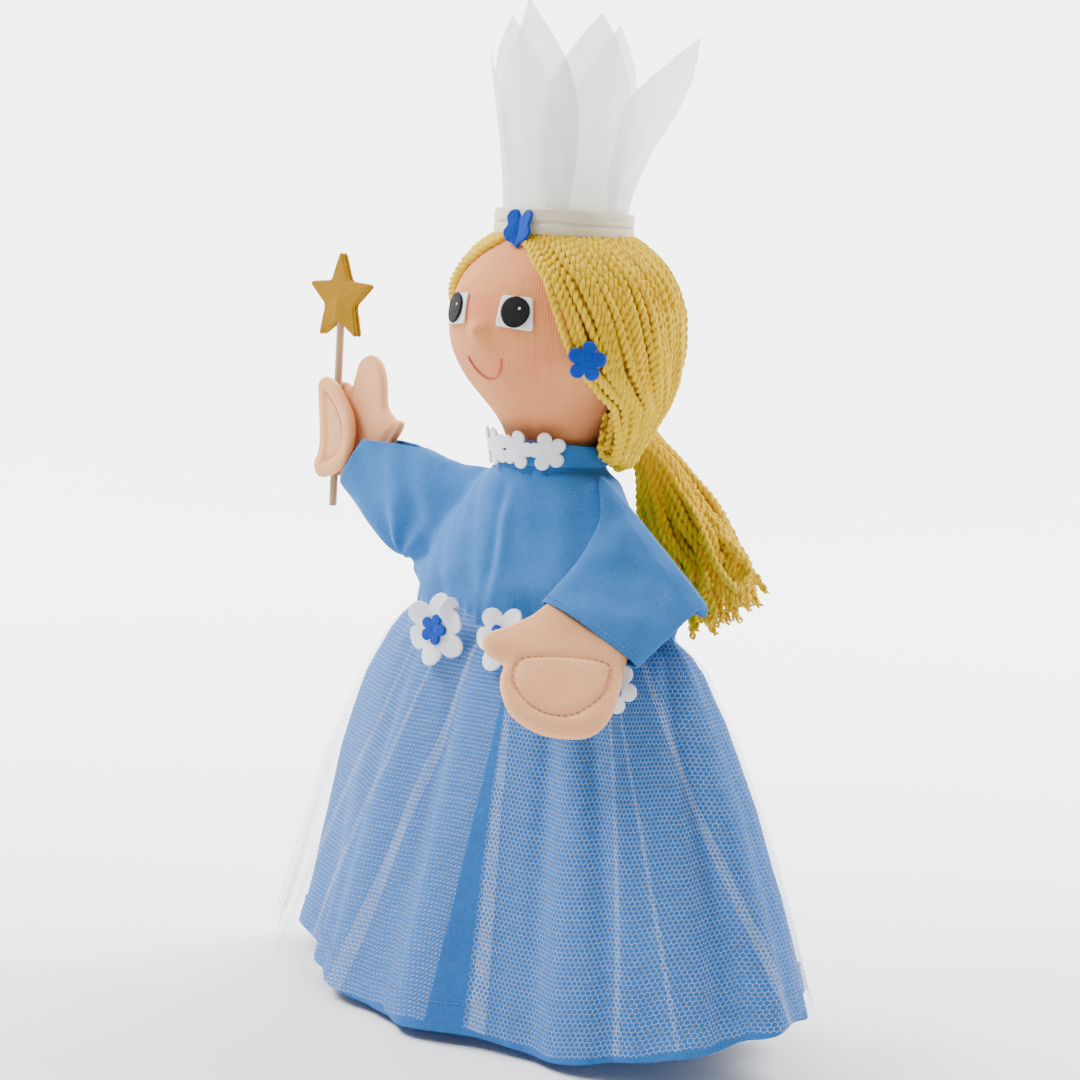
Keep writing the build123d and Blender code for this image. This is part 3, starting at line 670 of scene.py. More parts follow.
def ribbon_material(name, base, dark):
    """Bias-cut satin tape: fine slanting twill and a slight sheen."""
    N = Nodes(name)
    uv = N.uv()
    x, y, _ = N.sep(uv)
    tw = N.math("SINE", N.math("MULTIPLY", N.math("ADD", x, N.math("MULTIPLY", y, 0.8)), TAU / 0.00042))
    n1 = N.noise(N.map(uv, (120, 900, 1)), 1.0, 3.0)
    c = N.mix(N.rng(n1, 0.3, 0.7), dark, base)
    c = N.mix(N.rng(tw, -1.0, 0.4, 0.25, 0.0), c, dark)
    nr = N.bump(N.math("ADD", N.math("MULTIPLY", tw, 0.5), n1), 0.00009, 0.6)
    return N.done(N.bsdf(c, 0.55, nr, sheen=0.3, spec=0.35))


def dot_material(name):
    """Black felt disc of the pupil with a faint lighter nap."""
    N = Nodes(name)
    o = N.obj()
    f = N.noise(N.map(o, (2600, 2600, 2600)), 1.0, 4.0, 0.7, 1.0)
    g = N.noise(N.map(o, (900, 900, 900)), 1.0, 3.0, 0.6, 0.5)
    c = N.mix(N.rng(f, 0.42, 0.78), srgb(7, 7, 8), srgb(34, 34, 36))
    nr = N.bump(N.math("ADD", f, g), 0.00018, 0.8)
    return N.done(N.bsdf(c, N.rng(f, 0.3, 0.7, 0.75, 0.95), nr, sheen=0.08, spec=0.2))


def card_material(name):
    N = Nodes(name)
    o = N.obj()
    x, y, z = N.sep(o)
    f = N.noise(N.map(o, (900, 900, 3000)), 1.0, 4.0, 0.6)
    c = N.mix(N.rng(f, 0.3, 0.7), srgb(170, 146, 112), srgb(206, 184, 150))
    nr = N.bump(f, 0.0001, 0.6)
    return N.done(N.bsdf(c, 0.85, nr, spec=0.2))


M = {}
M["knit"] = knit_material("knit_cover")
M["cloth"] = cloth_material("dress_cotton", srgb(46, 112, 180), srgb(30, 86, 148), srgb(70, 138, 204), sheen=0.04)
M["cloth_sleeve"] = M["cloth"]
M["cloth_skirt"] = cloth_material("skirt_cotton", srgb(42, 106, 178), srgb(24, 76, 144), srgb(66, 134, 204), sheen=0.03)
M["white_felt"] = felt_material("white_felt", srgb(240, 242, 250), srgb(214, 218, 232), srgb(252, 253, 255), 0.8, 0.3)
M["blue_felt"] = felt_material("blue_felt", srgb(8, 62, 172), srgb(3, 38, 128), srgb(24, 88, 200), 1.0, 0.08)
M["yellow_felt"] = felt_material("yellow_felt", srgb(158, 114, 0), srgb(130, 90, 0), srgb(174, 130, 0), 1.0, 0.05)
M["black"] = dot_material("black_felt")
M["hand"] = soft_cloth_material("hand_jersey", srgb(240, 172, 120), srgb(216, 140, 90), srgb(248, 190, 142))
M["yarn"] = yarn_material("yarn")
M["organza"] = sheer_material("organza", (0.86, 0.86, 0.855, 1.0), 0.80, 0.00056, 0.14)
M["net"] = net_material("net", 0.00158, 0.082, (0.62, 0.73, 0.88, 1.0))
M["ribbon"] = ribbon_material("ribbon", srgb(242, 232, 206), srgb(220, 208, 178))
M["wood"] = wood_material("dowel_wood")
M["red_thread"] = thread_material("red_thread", srgb(226, 104, 90), srgb(180, 66, 56))
M["peach_thread"] = thread_material("peach_thread", srgb(206, 140, 98), srgb(168, 104, 66))
M["blue_thread"] = thread_material("blue_thread", srgb(56, 120, 184), srgb(38, 92, 150))
M["white_thread"] = thread_material("white_thread", srgb(236, 232, 222), srgb(206, 200, 186))
M["card"] = card_material("cardboard")

# ---------------------------------------------------------------------------
# head: knitted cover over the hard core
# ---------------------------------------------------------------------------
HEAD = [(0.0, 13.6), (4.0, 14.0), (8.0, 15.2), (12.0, 16.8), (16.0, 19.4), (20.0, 22.8),
        (26.0, 28.0), (32.0, 32.2), (38.0, 35.0), (44.0, 36.2), (50.0, 35.9), (56.0, 34.6),
        (62.0, 32.2), (67.0, 29.0), (71.0, 25.6), (75.0, 21.0), (78.0, 15.8), (80.2, 8.0), (80.9, 0.05)]
_hp = spline([(r, z) for z, r in HEAD], 400)


def head_r(z):
    return np.interp(z, _hp[:, 1], _hp[:, 0])


def nose_push(x, z):
    """How far the cover stands off the round head over the stuffed nose."""
    d2 = (x / 3.7) ** 2 + ((z - 43.6) / 3.5) ** 2
    return 3.3 * np.exp(-d2)


def on_head(phi, z, h):
    """Point h above the head cover at azimuth phi (deg) and height z."""
    phi, z, h = np.broadcast_arrays(phi, z, h)
    r = head_r(z)
    dz = 0.4
    slope = (head_r(z + dz) - head_r(z - dz)) / (2 * dz)
    k = 1 / np.sqrt(1 + slope ** 2)
    P = arc(phi, z - slope * k * h, r + k * h)
    a = np.radians(phi)
    front = np.cos(a) > 0
    P[..., 1] -= np.where(front, nose_push(r * np.sin(a), z), 0)
    return P


prof = spline([(11.9, 5.0), (11.8, 1.2), (12.7, -0.1)] + [(r, z) for z, r in HEAD], 170)
nphi = 300
ph = np.linspace(-180, 180, nphi + 1)
R_, Z_ = prof[:, 0][None], prof[:, 1][None]
pl = 0.35 * np.sin(np.radians(ph)[:, None] * 34) * np.exp(-np.maximum(Z_, 0) / 5.0)
P = arc(ph[:, None], Z_, R_ + pl)
fr = np.cos(np.radians(ph))[:, None] > 0
P[..., 1] -= np.where(fr & (R_ > 20) & (Z_ > 20), nose_push(P[..., 0], P[..., 2]), 0)
P += unit(P - V3(0, 0, 40)) * (0.16 * wob(P, 16, 3))[..., None]
sl = np.concatenate([[0], np.cumsum(np.linalg.norm(np.diff(prof, axis=0), axis=1))])
uv = np.stack(np.broadcast_arrays(np.radians(ph)[:, None] * 36.2, sl[None]), -1)
face = grid("face_cloth", P, M["knit"], uv)
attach(face, "head")
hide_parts("face_cover", "nose_stuffing", "head_core")

for sd, nm in ((1, "left"), (-1, "right")):
    def th(base):
        def f(p, h):
            z = 50.5 + p[:, 1]
            phi = sd * 21.3 + np.degrees(p[:, 0] / head_r(z))
            return on_head(phi, z, base + h)
        return f
    quad = [(-5.3 * sd, 5.5), (5.6 * sd, 4.9), (6.6 * sd, -5.4), (-6.6 * sd, -4.4)]
    o = round_poly(quad, 1.3, 96)
    ew = plate(f"eye_white_felt_{nm}", o, th(0.55), 0.9, M["white_felt"], edge_r=0.4, rings=10, fuzz=0.04, seed=3)
    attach(ew, "head"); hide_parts(f"eye_white_{nm}")
    t = np.arange(96) / 96 * TAU
    pr = 4.85 * (1 + 0.012 * np.sin(3 * t + 1))
    pup = plate(f"eye_pupil_felt_{nm}", np.stack([pr * np.cos(t) + 0.3 * sd, pr * np.sin(t) + 0.2], 1), th(1.45), 0.9, M["black"], edge_r=0.42, rings=10, fuzz=0.05, seed=4)
    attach(pup, "head"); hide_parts(f"eye_pupil_{nm}")
    # painted highlight: a small white disc on each pupil stands for the glint of light on it
    gl = plate(f"eye_glint_{nm}", np.stack([0.42 * np.cos(t[::4]), 0.42 * np.sin(t[::4])], 1) + V3(1.9, 1.3)[:2], th(1.95), 0.22, M["white_thread"], rings=4)
    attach(gl, "head")

# smile: split backstitches in red thread
t = np.linspace(-1, 1, 200)
zz = 35.4 - 6.9 * (1 - t ** 2) ** 0.8
xx = 7.6 * t
phi = np.degrees(np.arcsin(xx / head_r(zz)))
line = on_head(phi, zz, 0.12)
parts = []
ns = 13
for i in range(ns):
    a, b = int(i * 199 / ns), min(int((i + 1.12) * 199 / ns), 199)
    seg = spline(line[a:b + 1], 12)
    w = np.linspace(0, 1, 12)
    seg = seg + unit(line[100] - V3(0, 0, line[100][2])) * (0.26 * np.sin(w * math.pi))[:, None]
    parts.append(seg)
sm = tubes("smile_stitches", np.array(parts), 0.36, M["red_thread"], sides=8)
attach(sm, "head"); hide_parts("mouth_stitch")

# ---------------------------------------------------------------------------
# hair: two-ply yarn strands from under the crown, turned under at the bottom
# ---------------------------------------------------------------------------
HAIR = [(-2.0, 26.0), (5.0, 27.5), (8.0, 29.2), (12.0, 31.6), (22.0, 37.0), (30.0, 39.8), (40.0, 41.1),
        (52.0, 40.6), (60.0, 38.0), (66.0, 34.6), (70.0, 31.0), (74.0, 26.0), (76.5, 21.5)]
_hz, _hr = np.array([h[0] for h in HAIR]), np.array([h[1] for h in HAIR])
HB = 2.2
EDGE = [(-2.0, 94.0), (5.0, 91.0), (12.0, 86.0), (21.5, 77.0), (26.0, 67.0), (33.0, 56.5), (41.0, 50.0), (50.0, 44.5), (62.0, 36.0), (71.0, 22.0), (74.0, 12.0), (76.5, 3.0)]
_ez, _ea = np.array([e[0] for e in EDGE]), np.array([e[1] for e in EDGE])


EDGE_R = [(-2.0, 99.0), (5.0, 98.0), (12.0, 95.0), (21.5, 91.0), (30.0, 87.0), (38.0, 84.0), (44.0, 79.0), (50.0, 68.0), (55.0, 56.0), (60.0, 46.0), (66.0, 35.0), (71.0, 22.0), (74.0, 12.0), (76.5, 3.0)]
_ezr, _ear = np.array([e[0] for e in EDGE_R]), np.array([e[1] for e in EDGE_R])


def hair_edge(side, z):
    return np.interp(z, _ez, _ea) if side > 0 else np.interp(z, _ezr, _ear)


def hair_path(side, s, depth, zend, n, jit):
    """Centre line of one strand. s from 0 at the front edge to 1 at the back; depth below the outer surface."""
    z = np.linspace(76.3, zend, n)
    e = hair_edge(side, z)
    phi = side * (e + (180.0 - e) * s)
    # strands gather a little towards the nape low down at the back
    low = smooth01((30 - z) / 30)
    phi = phi + side * 7.0 * low * s * (1 - s) * 4 * 0.5
    rr = np.interp(z, _hz, _hr) - depth
    if side < 0:        # the front strands of the right side lie flat to the temple
        rr = head_r(z) + 1.9 + (rr - head_r(z) - 1.9) * (0.25 + 0.75 * smooth01(s * 4.5))
    r = np.maximum(rr, head_r(z) + 1.2)
    P = arc(phi, z, r, cy=HB * min(1.0, 0.35 + s * 1.5))
    return P


def add_curl(P, side, turn=5.5, up=9.0, n2=16):
    """The strand's lower end turns inward and back up, as a loop of yarn does."""
    e = P[-1]
    rad = unit(V3(e[0], e[1], 0))
    t = np.linspace(0, 1, n2)[1:, None]
    ang = t * math.pi
    c = e - rad * turn / 2
    L = c + rad * (turn / 2) * np.cos(ang) + V3(0, 0, -1) * (turn * 0.55) * np.sin(ang)
    t2 = np.linspace(0, 1, 8)[1:, None]
    U = L[-1] + V3(0, 0, 1) * up * t2 + rad * 1.0 * t2
    return np.vstack([P, L, U])


def two_ply(name, paths, mat, pitch=5.6, orbit=0.66, ply=0.80, sides=6, painted_shade=None, seed=0, taper=None):
    """Twists two plies round each centre path."""
    paths = np.asarray(paths, float)
    k, n = paths.shape[:2]
    T, A, B = frames_along(paths)
    s = np.concatenate([np.zeros((k, 1)), np.cumsum(np.linalg.norm(np.diff(paths, axis=1), axis=2), 1)], 1)
    r = np.random.default_rng(seed)
    ph0 = r.uniform(0, TAU, k)[:, None]
    pv = pitch * r.uniform(0.9, 1.12, k)[:, None]
    res, rad = [], []
    for q in (0, 1):
        a = TAU * s / pv + ph0 + q * math.pi
        o = orbit * (np.ones_like(s) if taper is None else (1 + 0.5 * (1 - taper)))
        res.append(paths + o[..., None] * (A * np.cos(a)[..., None] + B * np.sin(a)[..., None]))
        rad.append(np.full((k, n), ply) * (1.0 if taper is None else taper))
    allp, allr = np.concatenate(res), np.concatenate(rad)
    # painted shade: one darkening value per strand, handed on to the yarn material through the mesh attribute
    sh = None if painted_shade is None else np.concatenate([painted_shade, painted_shade])
    return tubes(name, allp, allr, mat, sides=sides, col=sh)


NS = 130
paths, painted_shade = [], []
for side in (1, -1):
    for layer, (depth, cnt) in enumerate(((1.35, 37), (3.5, 33))):
        for i in range(cnt):
            s = (i + (0.0 if layer == 0 else 0.5)) / (cnt - 0.5)
            s = min(max(s + rng.normal(0, 0.004), 0.0), 1.0) if i else (0.0 if layer == 0 else 0.012)
            zend = 3.0 + 3.5 * rng.random() + 2.5 * layer
            if s < 0.15:
                zend += 2.5 * (0.15 - s) / 0.15
            P = hair_path(side, s, depth + rng.normal(0, 0.28), zend, NS - 22, None)
            P = add_curl(P, side, turn=rng.uniform(3.4, 5.4), up=rng.uniform(5, 9))
            P = spline(P, NS)
            tt = np.linspace(0, 1, NS)
            lat = unit(np.cross(np.gradient(P, axis=0), P - V3(0, HB, 40)))
            am = smooth01(tt * 4)
            P = P + lat * (am * (0.80 * np.sin(tt * rng.uniform(4, 8) + rng.uniform(0, TAU)) + 0.25 * np.sin(tt * 19 + rng.uniform(0, TAU))))[:, None]
            rad = unit(P - V3(0, HB, 38))
            P = P + rad * (am * 0.48 * np.sin(tt * rng.uniform(6, 12) + rng.uniform(0, TAU)))[:, None]
            paths.append(P)
            # painted shade: the deeper layer of strands is darkened more, standing for the shade under the outer layer;
            # each strand also gets a random spread in tone
            painted_shade.append(np.clip(0.10 + 0.35 * layer + rng.normal(0, 0.10), 0, 1))
wig = two_ply("yarn_hair", paths, M["yarn"], painted_shade=np.array(painted_shade), seed=11)
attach(wig, "head"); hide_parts("yarn_wig")

# sewn base under the strands, in the same yarn colour
zz = np.linspace(11.0, 76.5, 58)
rows = []
for side in (1, -1):
    us = np.linspace(0.15, 1.0, 60)
    e = hair_edge(side, zz)
    phi = side * (e[None] + (180 - e[None]) * us[:, None])
    rows.append((side, arc(phi, np.broadcast_to(zz, phi.shape), head_r(zz)[None] + 0.7 + 1.6 * smooth01(us * 6)[:, None])))
bases = [grid(f"hair_base_{'left' if sd > 0 else 'right'}", Pq if sd < 0 else Pq[:, ::-1], M["yarn"]) for sd, Pq in rows]
zt = np.linspace(75.4, 80.9, 26)
bases.append(grid("hair_base_top", arc(np.linspace(360, 0, 97)[:, None], zt[None] + 0.6, head_r(zt)[None] * 1.024), M["yarn"]))
hb = join("hair_base", bases)
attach(hb, "head")

# ---------------------------------------------------------------------------
# ponytail
# ---------------------------------------------------------------------------
TIE = V3(5.0, 39.6, 6.0)
PONY = [(V3(-1.0, 33.5, 13.0), 9.0, 7.0), (V3(5.0, 39.6, 6.0), 6.2, 5.6), (V3(9.6, 43.6, -1.0), 9.5, 8.2), (V3(17.0, 47.4, -14.0), 13.0, 10.4),
        (V3(25.2, 49.6, -27.0), 15.5, 11.4), (V3(32.6, 50.8, -38.0), 17.0, 11.6), (V3(39.5, 51.6, -48.0), 18.0, 12.0)]
cen = spline([p[0] for p in PONY], 120)
cs = np.linspace(0, 1, 120)
wa = np.interp(cs, np.linspace(0, 1, len(PONY)), [p[1] for p in PONY])
wb = np.interp(cs, np.linspace(0, 1, len(PONY)), [p[2] for p in PONY])
Tc = unit(np.gradient(cen, axis=0))
X = unit(V3(0.86, -0.5, 0.0) - Tc * (Tc @ V3(0.86, -0.5, 0.0))[:, None])
Y = np.cross(Tc, X)
NP = 96
pp, pony_painted_shade, tap = [], [], []
npony = 146
for i in range(npony):
    rr = math.sqrt((i + 0.5) / npony)
    th_ = i * 2.399963 + rng.uniform(-0.2, 0.2)
    ux, uy = rr * math.cos(th_), rr * math.sin(th_)
    # cut ends lie along a slanting line, the outer strands shorter
    tend = np.clip(0.90 + 0.10 * rng.random() - 0.10 * abs(ux) + 0.06 * rng.normal(), 0.70, 1.0)
    tt = np.linspace(0.02 + 0.05 * rng.random(), tend, NP)
    c = np.stack([np.interp(tt, cs, cen[:, k]) for k in range(3)], 1)
    Xi = np.stack([np.interp(tt, cs, X[:, k]) for k in range(3)], 1)
    Yi = np.stack([np.interp(tt, cs, Y[:, k]) for k in range(3)], 1)
    a, b = np.interp(tt, cs, wa), np.interp(tt, cs, wb)
    sp = np.maximum(tt - 0.30, 0)
    if uy > 0:
        b = b * (1 + 0.50 * smooth01((tt - 0.12) / 0.3) - 0.36 * smooth01((tt - 0.55) / 0.4))
    P = c + Xi * ((ux * a) + sp * 6.5 * rng.normal() * 0.9)[:, None] + Yi * ((uy * b) + sp * 3.0 * rng.normal())[:, None]
    P = P + Xi * (sp * 3.4 * np.sin(tt * rng.uniform(8, 19) + rng.uniform(0, TAU)))[:, None] + Yi * (sp * 3.2 * np.sin(tt * rng.uniform(8, 19) + rng.uniform(0, TAU)))[:, None]
    P[:, 2] -= sp ** 2 * rng.uniform(0, 3)
    P = spline(P, NP)
    pp.append(P)
    # painted shade: strands near the middle of the ponytail are darkened, standing for the shade inside the bundle,
    # with a random spread per strand
    pony_painted_shade.append(np.clip(0.16 - 0.14 * rr + rng.normal(0, 0.07), 0, 1))
    e = np.linspace(0, 1, NP)
    tap.append(np.where(e > 0.965, 1 - 0.45 * (e - 0.965) / 0.035, 1.0))
pony = two_ply("yarn_ponytail", pp, M["yarn"], painted_shade=np.array(pony_painted_shade), seed=5, taper=np.array(tap))
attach(pony, "ponytail"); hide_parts("ponytail")
# tie: several turns of yarn round the gathered hair
d0 = unit(V3(5.5, 5.8, -9.0))
c0 = TIE + d0 * 1.0
ax = unit(np.cross(d0, V3(0, 0, 1)))
ay = np.cross(d0, ax)
tt = np.linspace(0, 1, 260)
turns = 4.0
ring = c0 + ax * (6.6 * np.cos(tt * turns * TAU))[:, None] + ay * (6.2 * np.sin(tt * turns * TAU))[:, None] + d0 * ((tt - 0.5) * 5.2)[:, None]
# painted shade: the tie turns are darkened by a fixed 0.35 through the yarn's shade attribute
tie = two_ply("hair_tie_turns", [ring], M["yarn"], orbit=0.5, ply=0.62, painted_shade=np.array([0.35]), seed=3)
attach(tie, "ponytail"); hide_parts("hair_tie")

# blue felt flowers at the temples, collar flowers, crown heart
def daisy(n, r_out, r_in=0.0, turn=0.0, m=24, power=0.0):
    """Round petals: the outer boundary of n overlapping discs."""
    kc = {5: 0.625, 6: 0.662}[n]
    rc, rp = r_out * kc, r_out * (1 - kc)
    a = np.arange(n * m) / (n * m) * TAU
    dl = (a + math.pi / n) % (TAU / n) - math.pi / n
    r = rc * np.cos(dl) + np.sqrt(np.maximum(rp ** 2 - (rc * np.sin(dl)) ** 2, 0.02))
    a = a + math.radians(turn)
    return np.stack([r * np.sin(a), r * np.cos(a)], 1)


def plane_map(o, x, y, n=None, curl=None):
    o, x, y = V3(*o), unit(V3(*x)), unit(V3(*y))
    n = np.cross(x, y) if n is None else unit(V3(*n))
    def f(p, h):
        hh = h if curl is None else h + curl(p)
        return o + p[:, :1] * x + p[:, 1:2] * y + hh[:, None] * n
    return f


def radial_frame(phi, z, r, tilt=0.0, cy=0.0):
    a, t = math.radians(phi), math.radians(tilt)
    n = V3(math.sin(a) * math.cos(t), -math.cos(a) * math.cos(t), math.sin(t))
    x = V3(math.cos(a), math.sin(a), 0)
    return V3(r * math.sin(a), cy - r * math.cos(a), z), x, np.cross(n, x), n


for sd, nm in ((1, "left"), (-1, "right")):
    o, x, y, n = radial_frame(57.5 if sd > 0 else -89.0, 36.6, 40.6, -2.0)
    f = plate(f"hair_flower_felt_{nm}", daisy(5, 6.6, 3.5, 8.0 * sd), plane_map(o + n * 1.1, x, y, n, curl=lambda p: -0.020 * (p ** 2).sum(1)), 1.3, M["blue_felt"], edge_r=0.6, rings=14, fuzz=0.09, seed=8, wave=0.25)
    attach(f, "head"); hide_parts(f"hair_flower_{nm}")

# ---------------------------------------------------------------------------
# crown
# ---------------------------------------------------------------------------
sec = closed_spline([(22.75, 75.5), (23.1, 77.0), (23.15, 78.6), (22.75, 79.35), (22.72, 79.75), (23.1, 80.4), (23.1, 82.4), (22.85, 83.7), (22.3, 84.1),
                     (21.85, 83.6), (21.75, 80.0), (21.8, 76.0), (22.2, 75.1)], 60)
ph = np.linspace(0, 360, 241)
wv = 0.16 * np.sin(np.radians(ph) * 3 + 1) + 0.08 * np.sin(np.radians(ph) * 11)
zw = 0.25 * np.sin(np.radians(ph) * 2 + 0.6)
sec2 = np.vstack([sec, sec[:1]])
P = arc(ph[:, None], sec2[None, :, 1] + zw[:, None], sec2[None, :, 0] + wv[:, None])
band = grid("crown_ribbon", P, M["ribbon"], np.stack(np.broadcast_arrays(np.radians(ph)[:, None] * 22.8, np.arange(61)[None] * 0.36), -1))
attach(band, "head"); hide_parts("crown_band")
st = []
for k in range(70):
    a0 = k * 360 / 70
    aa = np.linspace(a0, a0 + 3.4, 8)
    hgt = 0.10 + 0.14 * np.sin(np.linspace(0, math.pi, 8))
    st.append(arc(aa, 79.55 + 0.25 * np.sin(np.radians(aa) * 2 + 0.6), 22.78 + hgt + 0.16 * np.sin(np.radians(aa) * 3 + 1)))
cs_ = tubes("crown_band_stitches", np.array(st), 0.17, M["white_thread"], sides=6)
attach(cs_, "head")

PETALS = [(17.0, 149.8, 1.0, 0, 33.0), (60.5, 146.2, 0.95, 1, 36.0), (133.0, 140.0, 2.66, 0, 39.0),
          (194.0, 147.0, 1.0, 1, 32.0), (259.0, 148.5, 1.0, 0, 32.0), (316.0, 137.0, 0.66, 1, 33.0)]
CR = 21.6


for i, (phi, tip, flare, lay, hw) in enumerate(PETALS, 1):
    r0 = CR - 0.15 - lay * 0.95 - 0.25
    h = tip - 76.0
    prof = np.array([(r0, 76.0), (r0, 84.0), (r0 + 1.2 * flare, 84 + 0.2 * h), (r0 + 4.2 * flare, 84 + 0.45 * h), (r0 + 8.4 * flare, 84 + 0.72 * h), (r0 + 11.0 * flare, tip + 1.0)])
    pz = spline(prof, 90)
    nv, nu = 90, 41
    half_w = r0 * math.sin(math.radians(hw))
    ts = np.array([0, .16, .30, .45, .58, .70, .80, .90, 1.0])
    ws = np.array([.86, .95, 1.10, 1.19, 1.20, 1.08, .84, .47, 0.0])
    tz = np.linspace(0, 1, nv)
    W = np.interp(tz, ts, ws) * half_w
    W = np.convolve(np.pad(W, 3, mode="edge"), np.ones(7) / 7, "valid")
    if i == 3:
        W = W * (1 + 0.22 * (1 - smooth01((tz - 0.1) / 0.45)))
    W[-1] = 0.05
    u = np.linspace(-1, 1, nu)
    z = 76 + h * tz
    r = np.interp(z, pz[:, 1], pz[:, 0])
    x = u[:, None] * W[None]
    turn = {3: -36.0, 5: 5.0}.get(i, 0.0) * smooth01((tz - 0.02) / 0.75)
    if i == 1:
        x = np.where(x < 0, x * (1 - 0.42 * smooth01((tz - 0.66) / 0.22))[None], x)
    ang = phi + turn[None] + np.degrees(np.arcsin(np.clip(x / r[None], -0.98, 0.98)))
    rip = 0.22 * np.sin(x * 0.55 + tz[None] * 5 + i) * smooth01(tz * 2)[None] + 0.12 * np.sin(x * 1.4 + i * 2) * smooth01(tz * 2)[None]
    P = arc(ang, np.broadcast_to(z, x.shape), r[None] + rip)
    uvp = np.stack(np.broadcast_arrays(x + 40 * i, (z - 76)[None] * 1.02), -1)
    pt = grid(f"crown_petal_sheet_{i}", P, M["organza"], uvp)
    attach(pt, "head"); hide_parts(f"crown_petal_{i}")
    wmax, lmax = 2 * W.max() * MM, np.sum(np.linalg.norm(np.diff(P[nu // 2], axis=0), axis=1)) * MM

o, x, y, n = radial_frame(9.0, 77.6, 24.0, 14.0)
heart = closed_spline([(0.0, 3.6), (1.5, 5.7), (3.7, 5.6), (4.8, 3.2), (4.2, 0.6), (5.2, -1.6), (3.6, -4.3), (1.7, -5.4), (0.2, -6.8),
                       (-1.7, -5.6), (-4.2, -4.4), (-5.2, -1.8), (-4.1, 0.6), (-4.9, 3.0), (-3.7, 5.5), (-1.5, 5.7)], 150)
cf = plate("crown_heart_felt", heart, plane_map(o + n * 0.9, x, y, n, curl=lambda p: 0.10 * np.abs(p[:, 0]) ** 1.2 - 0.012 * p[:, 1] ** 2), 1.4, M["blue_felt"], edge_r=0.65, rings=14, fuzz=0.1, seed=9, wave=0.25,
           dimple=lambda p, s, d: -0.35 * np.exp(-(p[:, 0] / 0.7) ** 2) * (p[:, 1] > -3.5))
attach(cf, "head"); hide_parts("crown_flower")

# ---------------------------------------------------------------------------
# collar
# ---------------------------------------------------------------------------
sec = closed_spline([(15.9, -3.8), (16.8, -3.9), (17.0, 0.4), (18.9, 0.9), (19.3, 2.4), (19.25, 5.5), (19.1, 7.8), (18.95, 8.8), (18.55, 9.15), (18.15, 8.8), (17.9, 7.4), (17.2, 4.6), (16.3, 3.0), (15.75, 0.0)], 64)
sec2 = np.vstack([sec, sec[:1]])
ph = np.linspace(0, 360, 181)
g = 0.18 * np.sin(np.radians(ph) * 24)[:, None] * smooth01((sec2[None, :, 1] - 0.5) / 3)
# the band is lower at the back, so that the head has room to nod
low = 2.6 * (0.5 - 0.5 * np.cos(np.radians(ph)))[:, None] * smooth01((sec2[None, :, 1] - 2.5) / 6)
P = arc(ph[:, None], sec2[None, :, 1] - low, sec2[None, :, 0] + g)
nb = grid("collar_band_cloth", P, M["cloth"], np.stack(np.broadcast_arrays(np.radians(ph)[:, None] * 18, np.arange(65)[None] * 0.4), -1))
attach(nb, "collar"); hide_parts("neck_band")
fl = []
for k, phi in enumerate([-47.0, -18.0, 10.0, 40.0]):
    o, x, y, n = radial_frame(phi, 2.4, 20.1, -9.0)
    f = plate(f"cf{k}", daisy(5, 6.5, 3.4, 14 * (-1) ** k), plane_map(o + y * 3.5 + n * 0.15, x, y, n, curl=lambda p: -0.024 * p[:, 0] ** 2), 1.1, M["white_felt"], edge_r=0.5, rings=12, fuzz=0.07, seed=20 + k, wave=0.2)
    fl.append(f)
cfl = join("collar_flower_felts", fl)
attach(cfl, "collar"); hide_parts("collar_flowers")

# ---------------------------------------------------------------------------
# dress: bodice and sleeves, one cloth surface on each side of a seam
# ---------------------------------------------------------------------------
BOD = [(6.0, 17.6, 17.6, 1.0), (2.0, 17.9, 17.9, 1.0), (0.0, 18.4, 18.4, 1.05), (-4.0, 26.6, 19.0, 1.35), (-9.0, 33.5, 19.8, 1.5), (-20.0, 45.0, 21.0, 1.6),
       (-31.0, 56.0, 22.2, 1.6), (-39.0, 62.6, 23.0, 1.6), (-45.0, 61.2, 23.0, 1.6), (-52.5, 58.9, 22.6, 1.6), (-60.0, 58.9, 22.6, 1.6)]


def bod(z):
    return interp_table(BOD, z)


LA, LB = V3(26.5, -4, -3), V3(67.5, 0.5, -38)
LN = unit(V3(0.5577, -0.5971, 0.5766))
LT = unit(LB - LA)
LP = unit(np.cross(LN, LT))
LP = -LP if LP[2] > 0 else LP
RA, RB = V3(-31, 0, -2.5), V3(-65, 0, -38.5)
RT = unit(RB - RA)
RP = unit(np.cross(V3(0, -1, 0), RT))
RP = -RP if RP[0] > 0 else RP
RNn = V3(0, -1, 0)


def lplane(p, q, h=0.0):
    p, q, h = np.broadcast_arrays(p, q, h)
    return LA + p[..., None] * LP + q[..., None] * LT + h[..., None] * LN


def rplane(p, q, h=0.0):
    p, q, h = np.broadcast_arrays(p, q, h)
    return RA + p[..., None] * RP + q[..., None] * RT + h[..., None] * RNn


def apply_mod(ob, kind, **kw):
    bpy.context.view_layer.objects.active = ob
    md = ob.modifiers.new(kind, kind)
    for k, v in kw.items():
        setattr(md, k, v)
    bpy.ops.object.modifier_apply(modifier=md.name)
    return ob


def coords(ob):
    co = np.zeros(len(ob.data.vertices) * 3, np.float32)
    ob.data.vertices.foreach_get("co", co)
    return co.reshape(-1, 3).astype(float) / MM


def set_coords(ob, P):
    ob.data.vertices.foreach_set("co", (P * MM).astype(np.float32).ravel())
    ob.data.update()


def normals(ob):
    no = np.zeros(len(ob.data.vertices) * 3, np.float32)
    ob.data.vertices.foreach_get("normal", no)
    return no.reshape(-1, 3).astype(float)


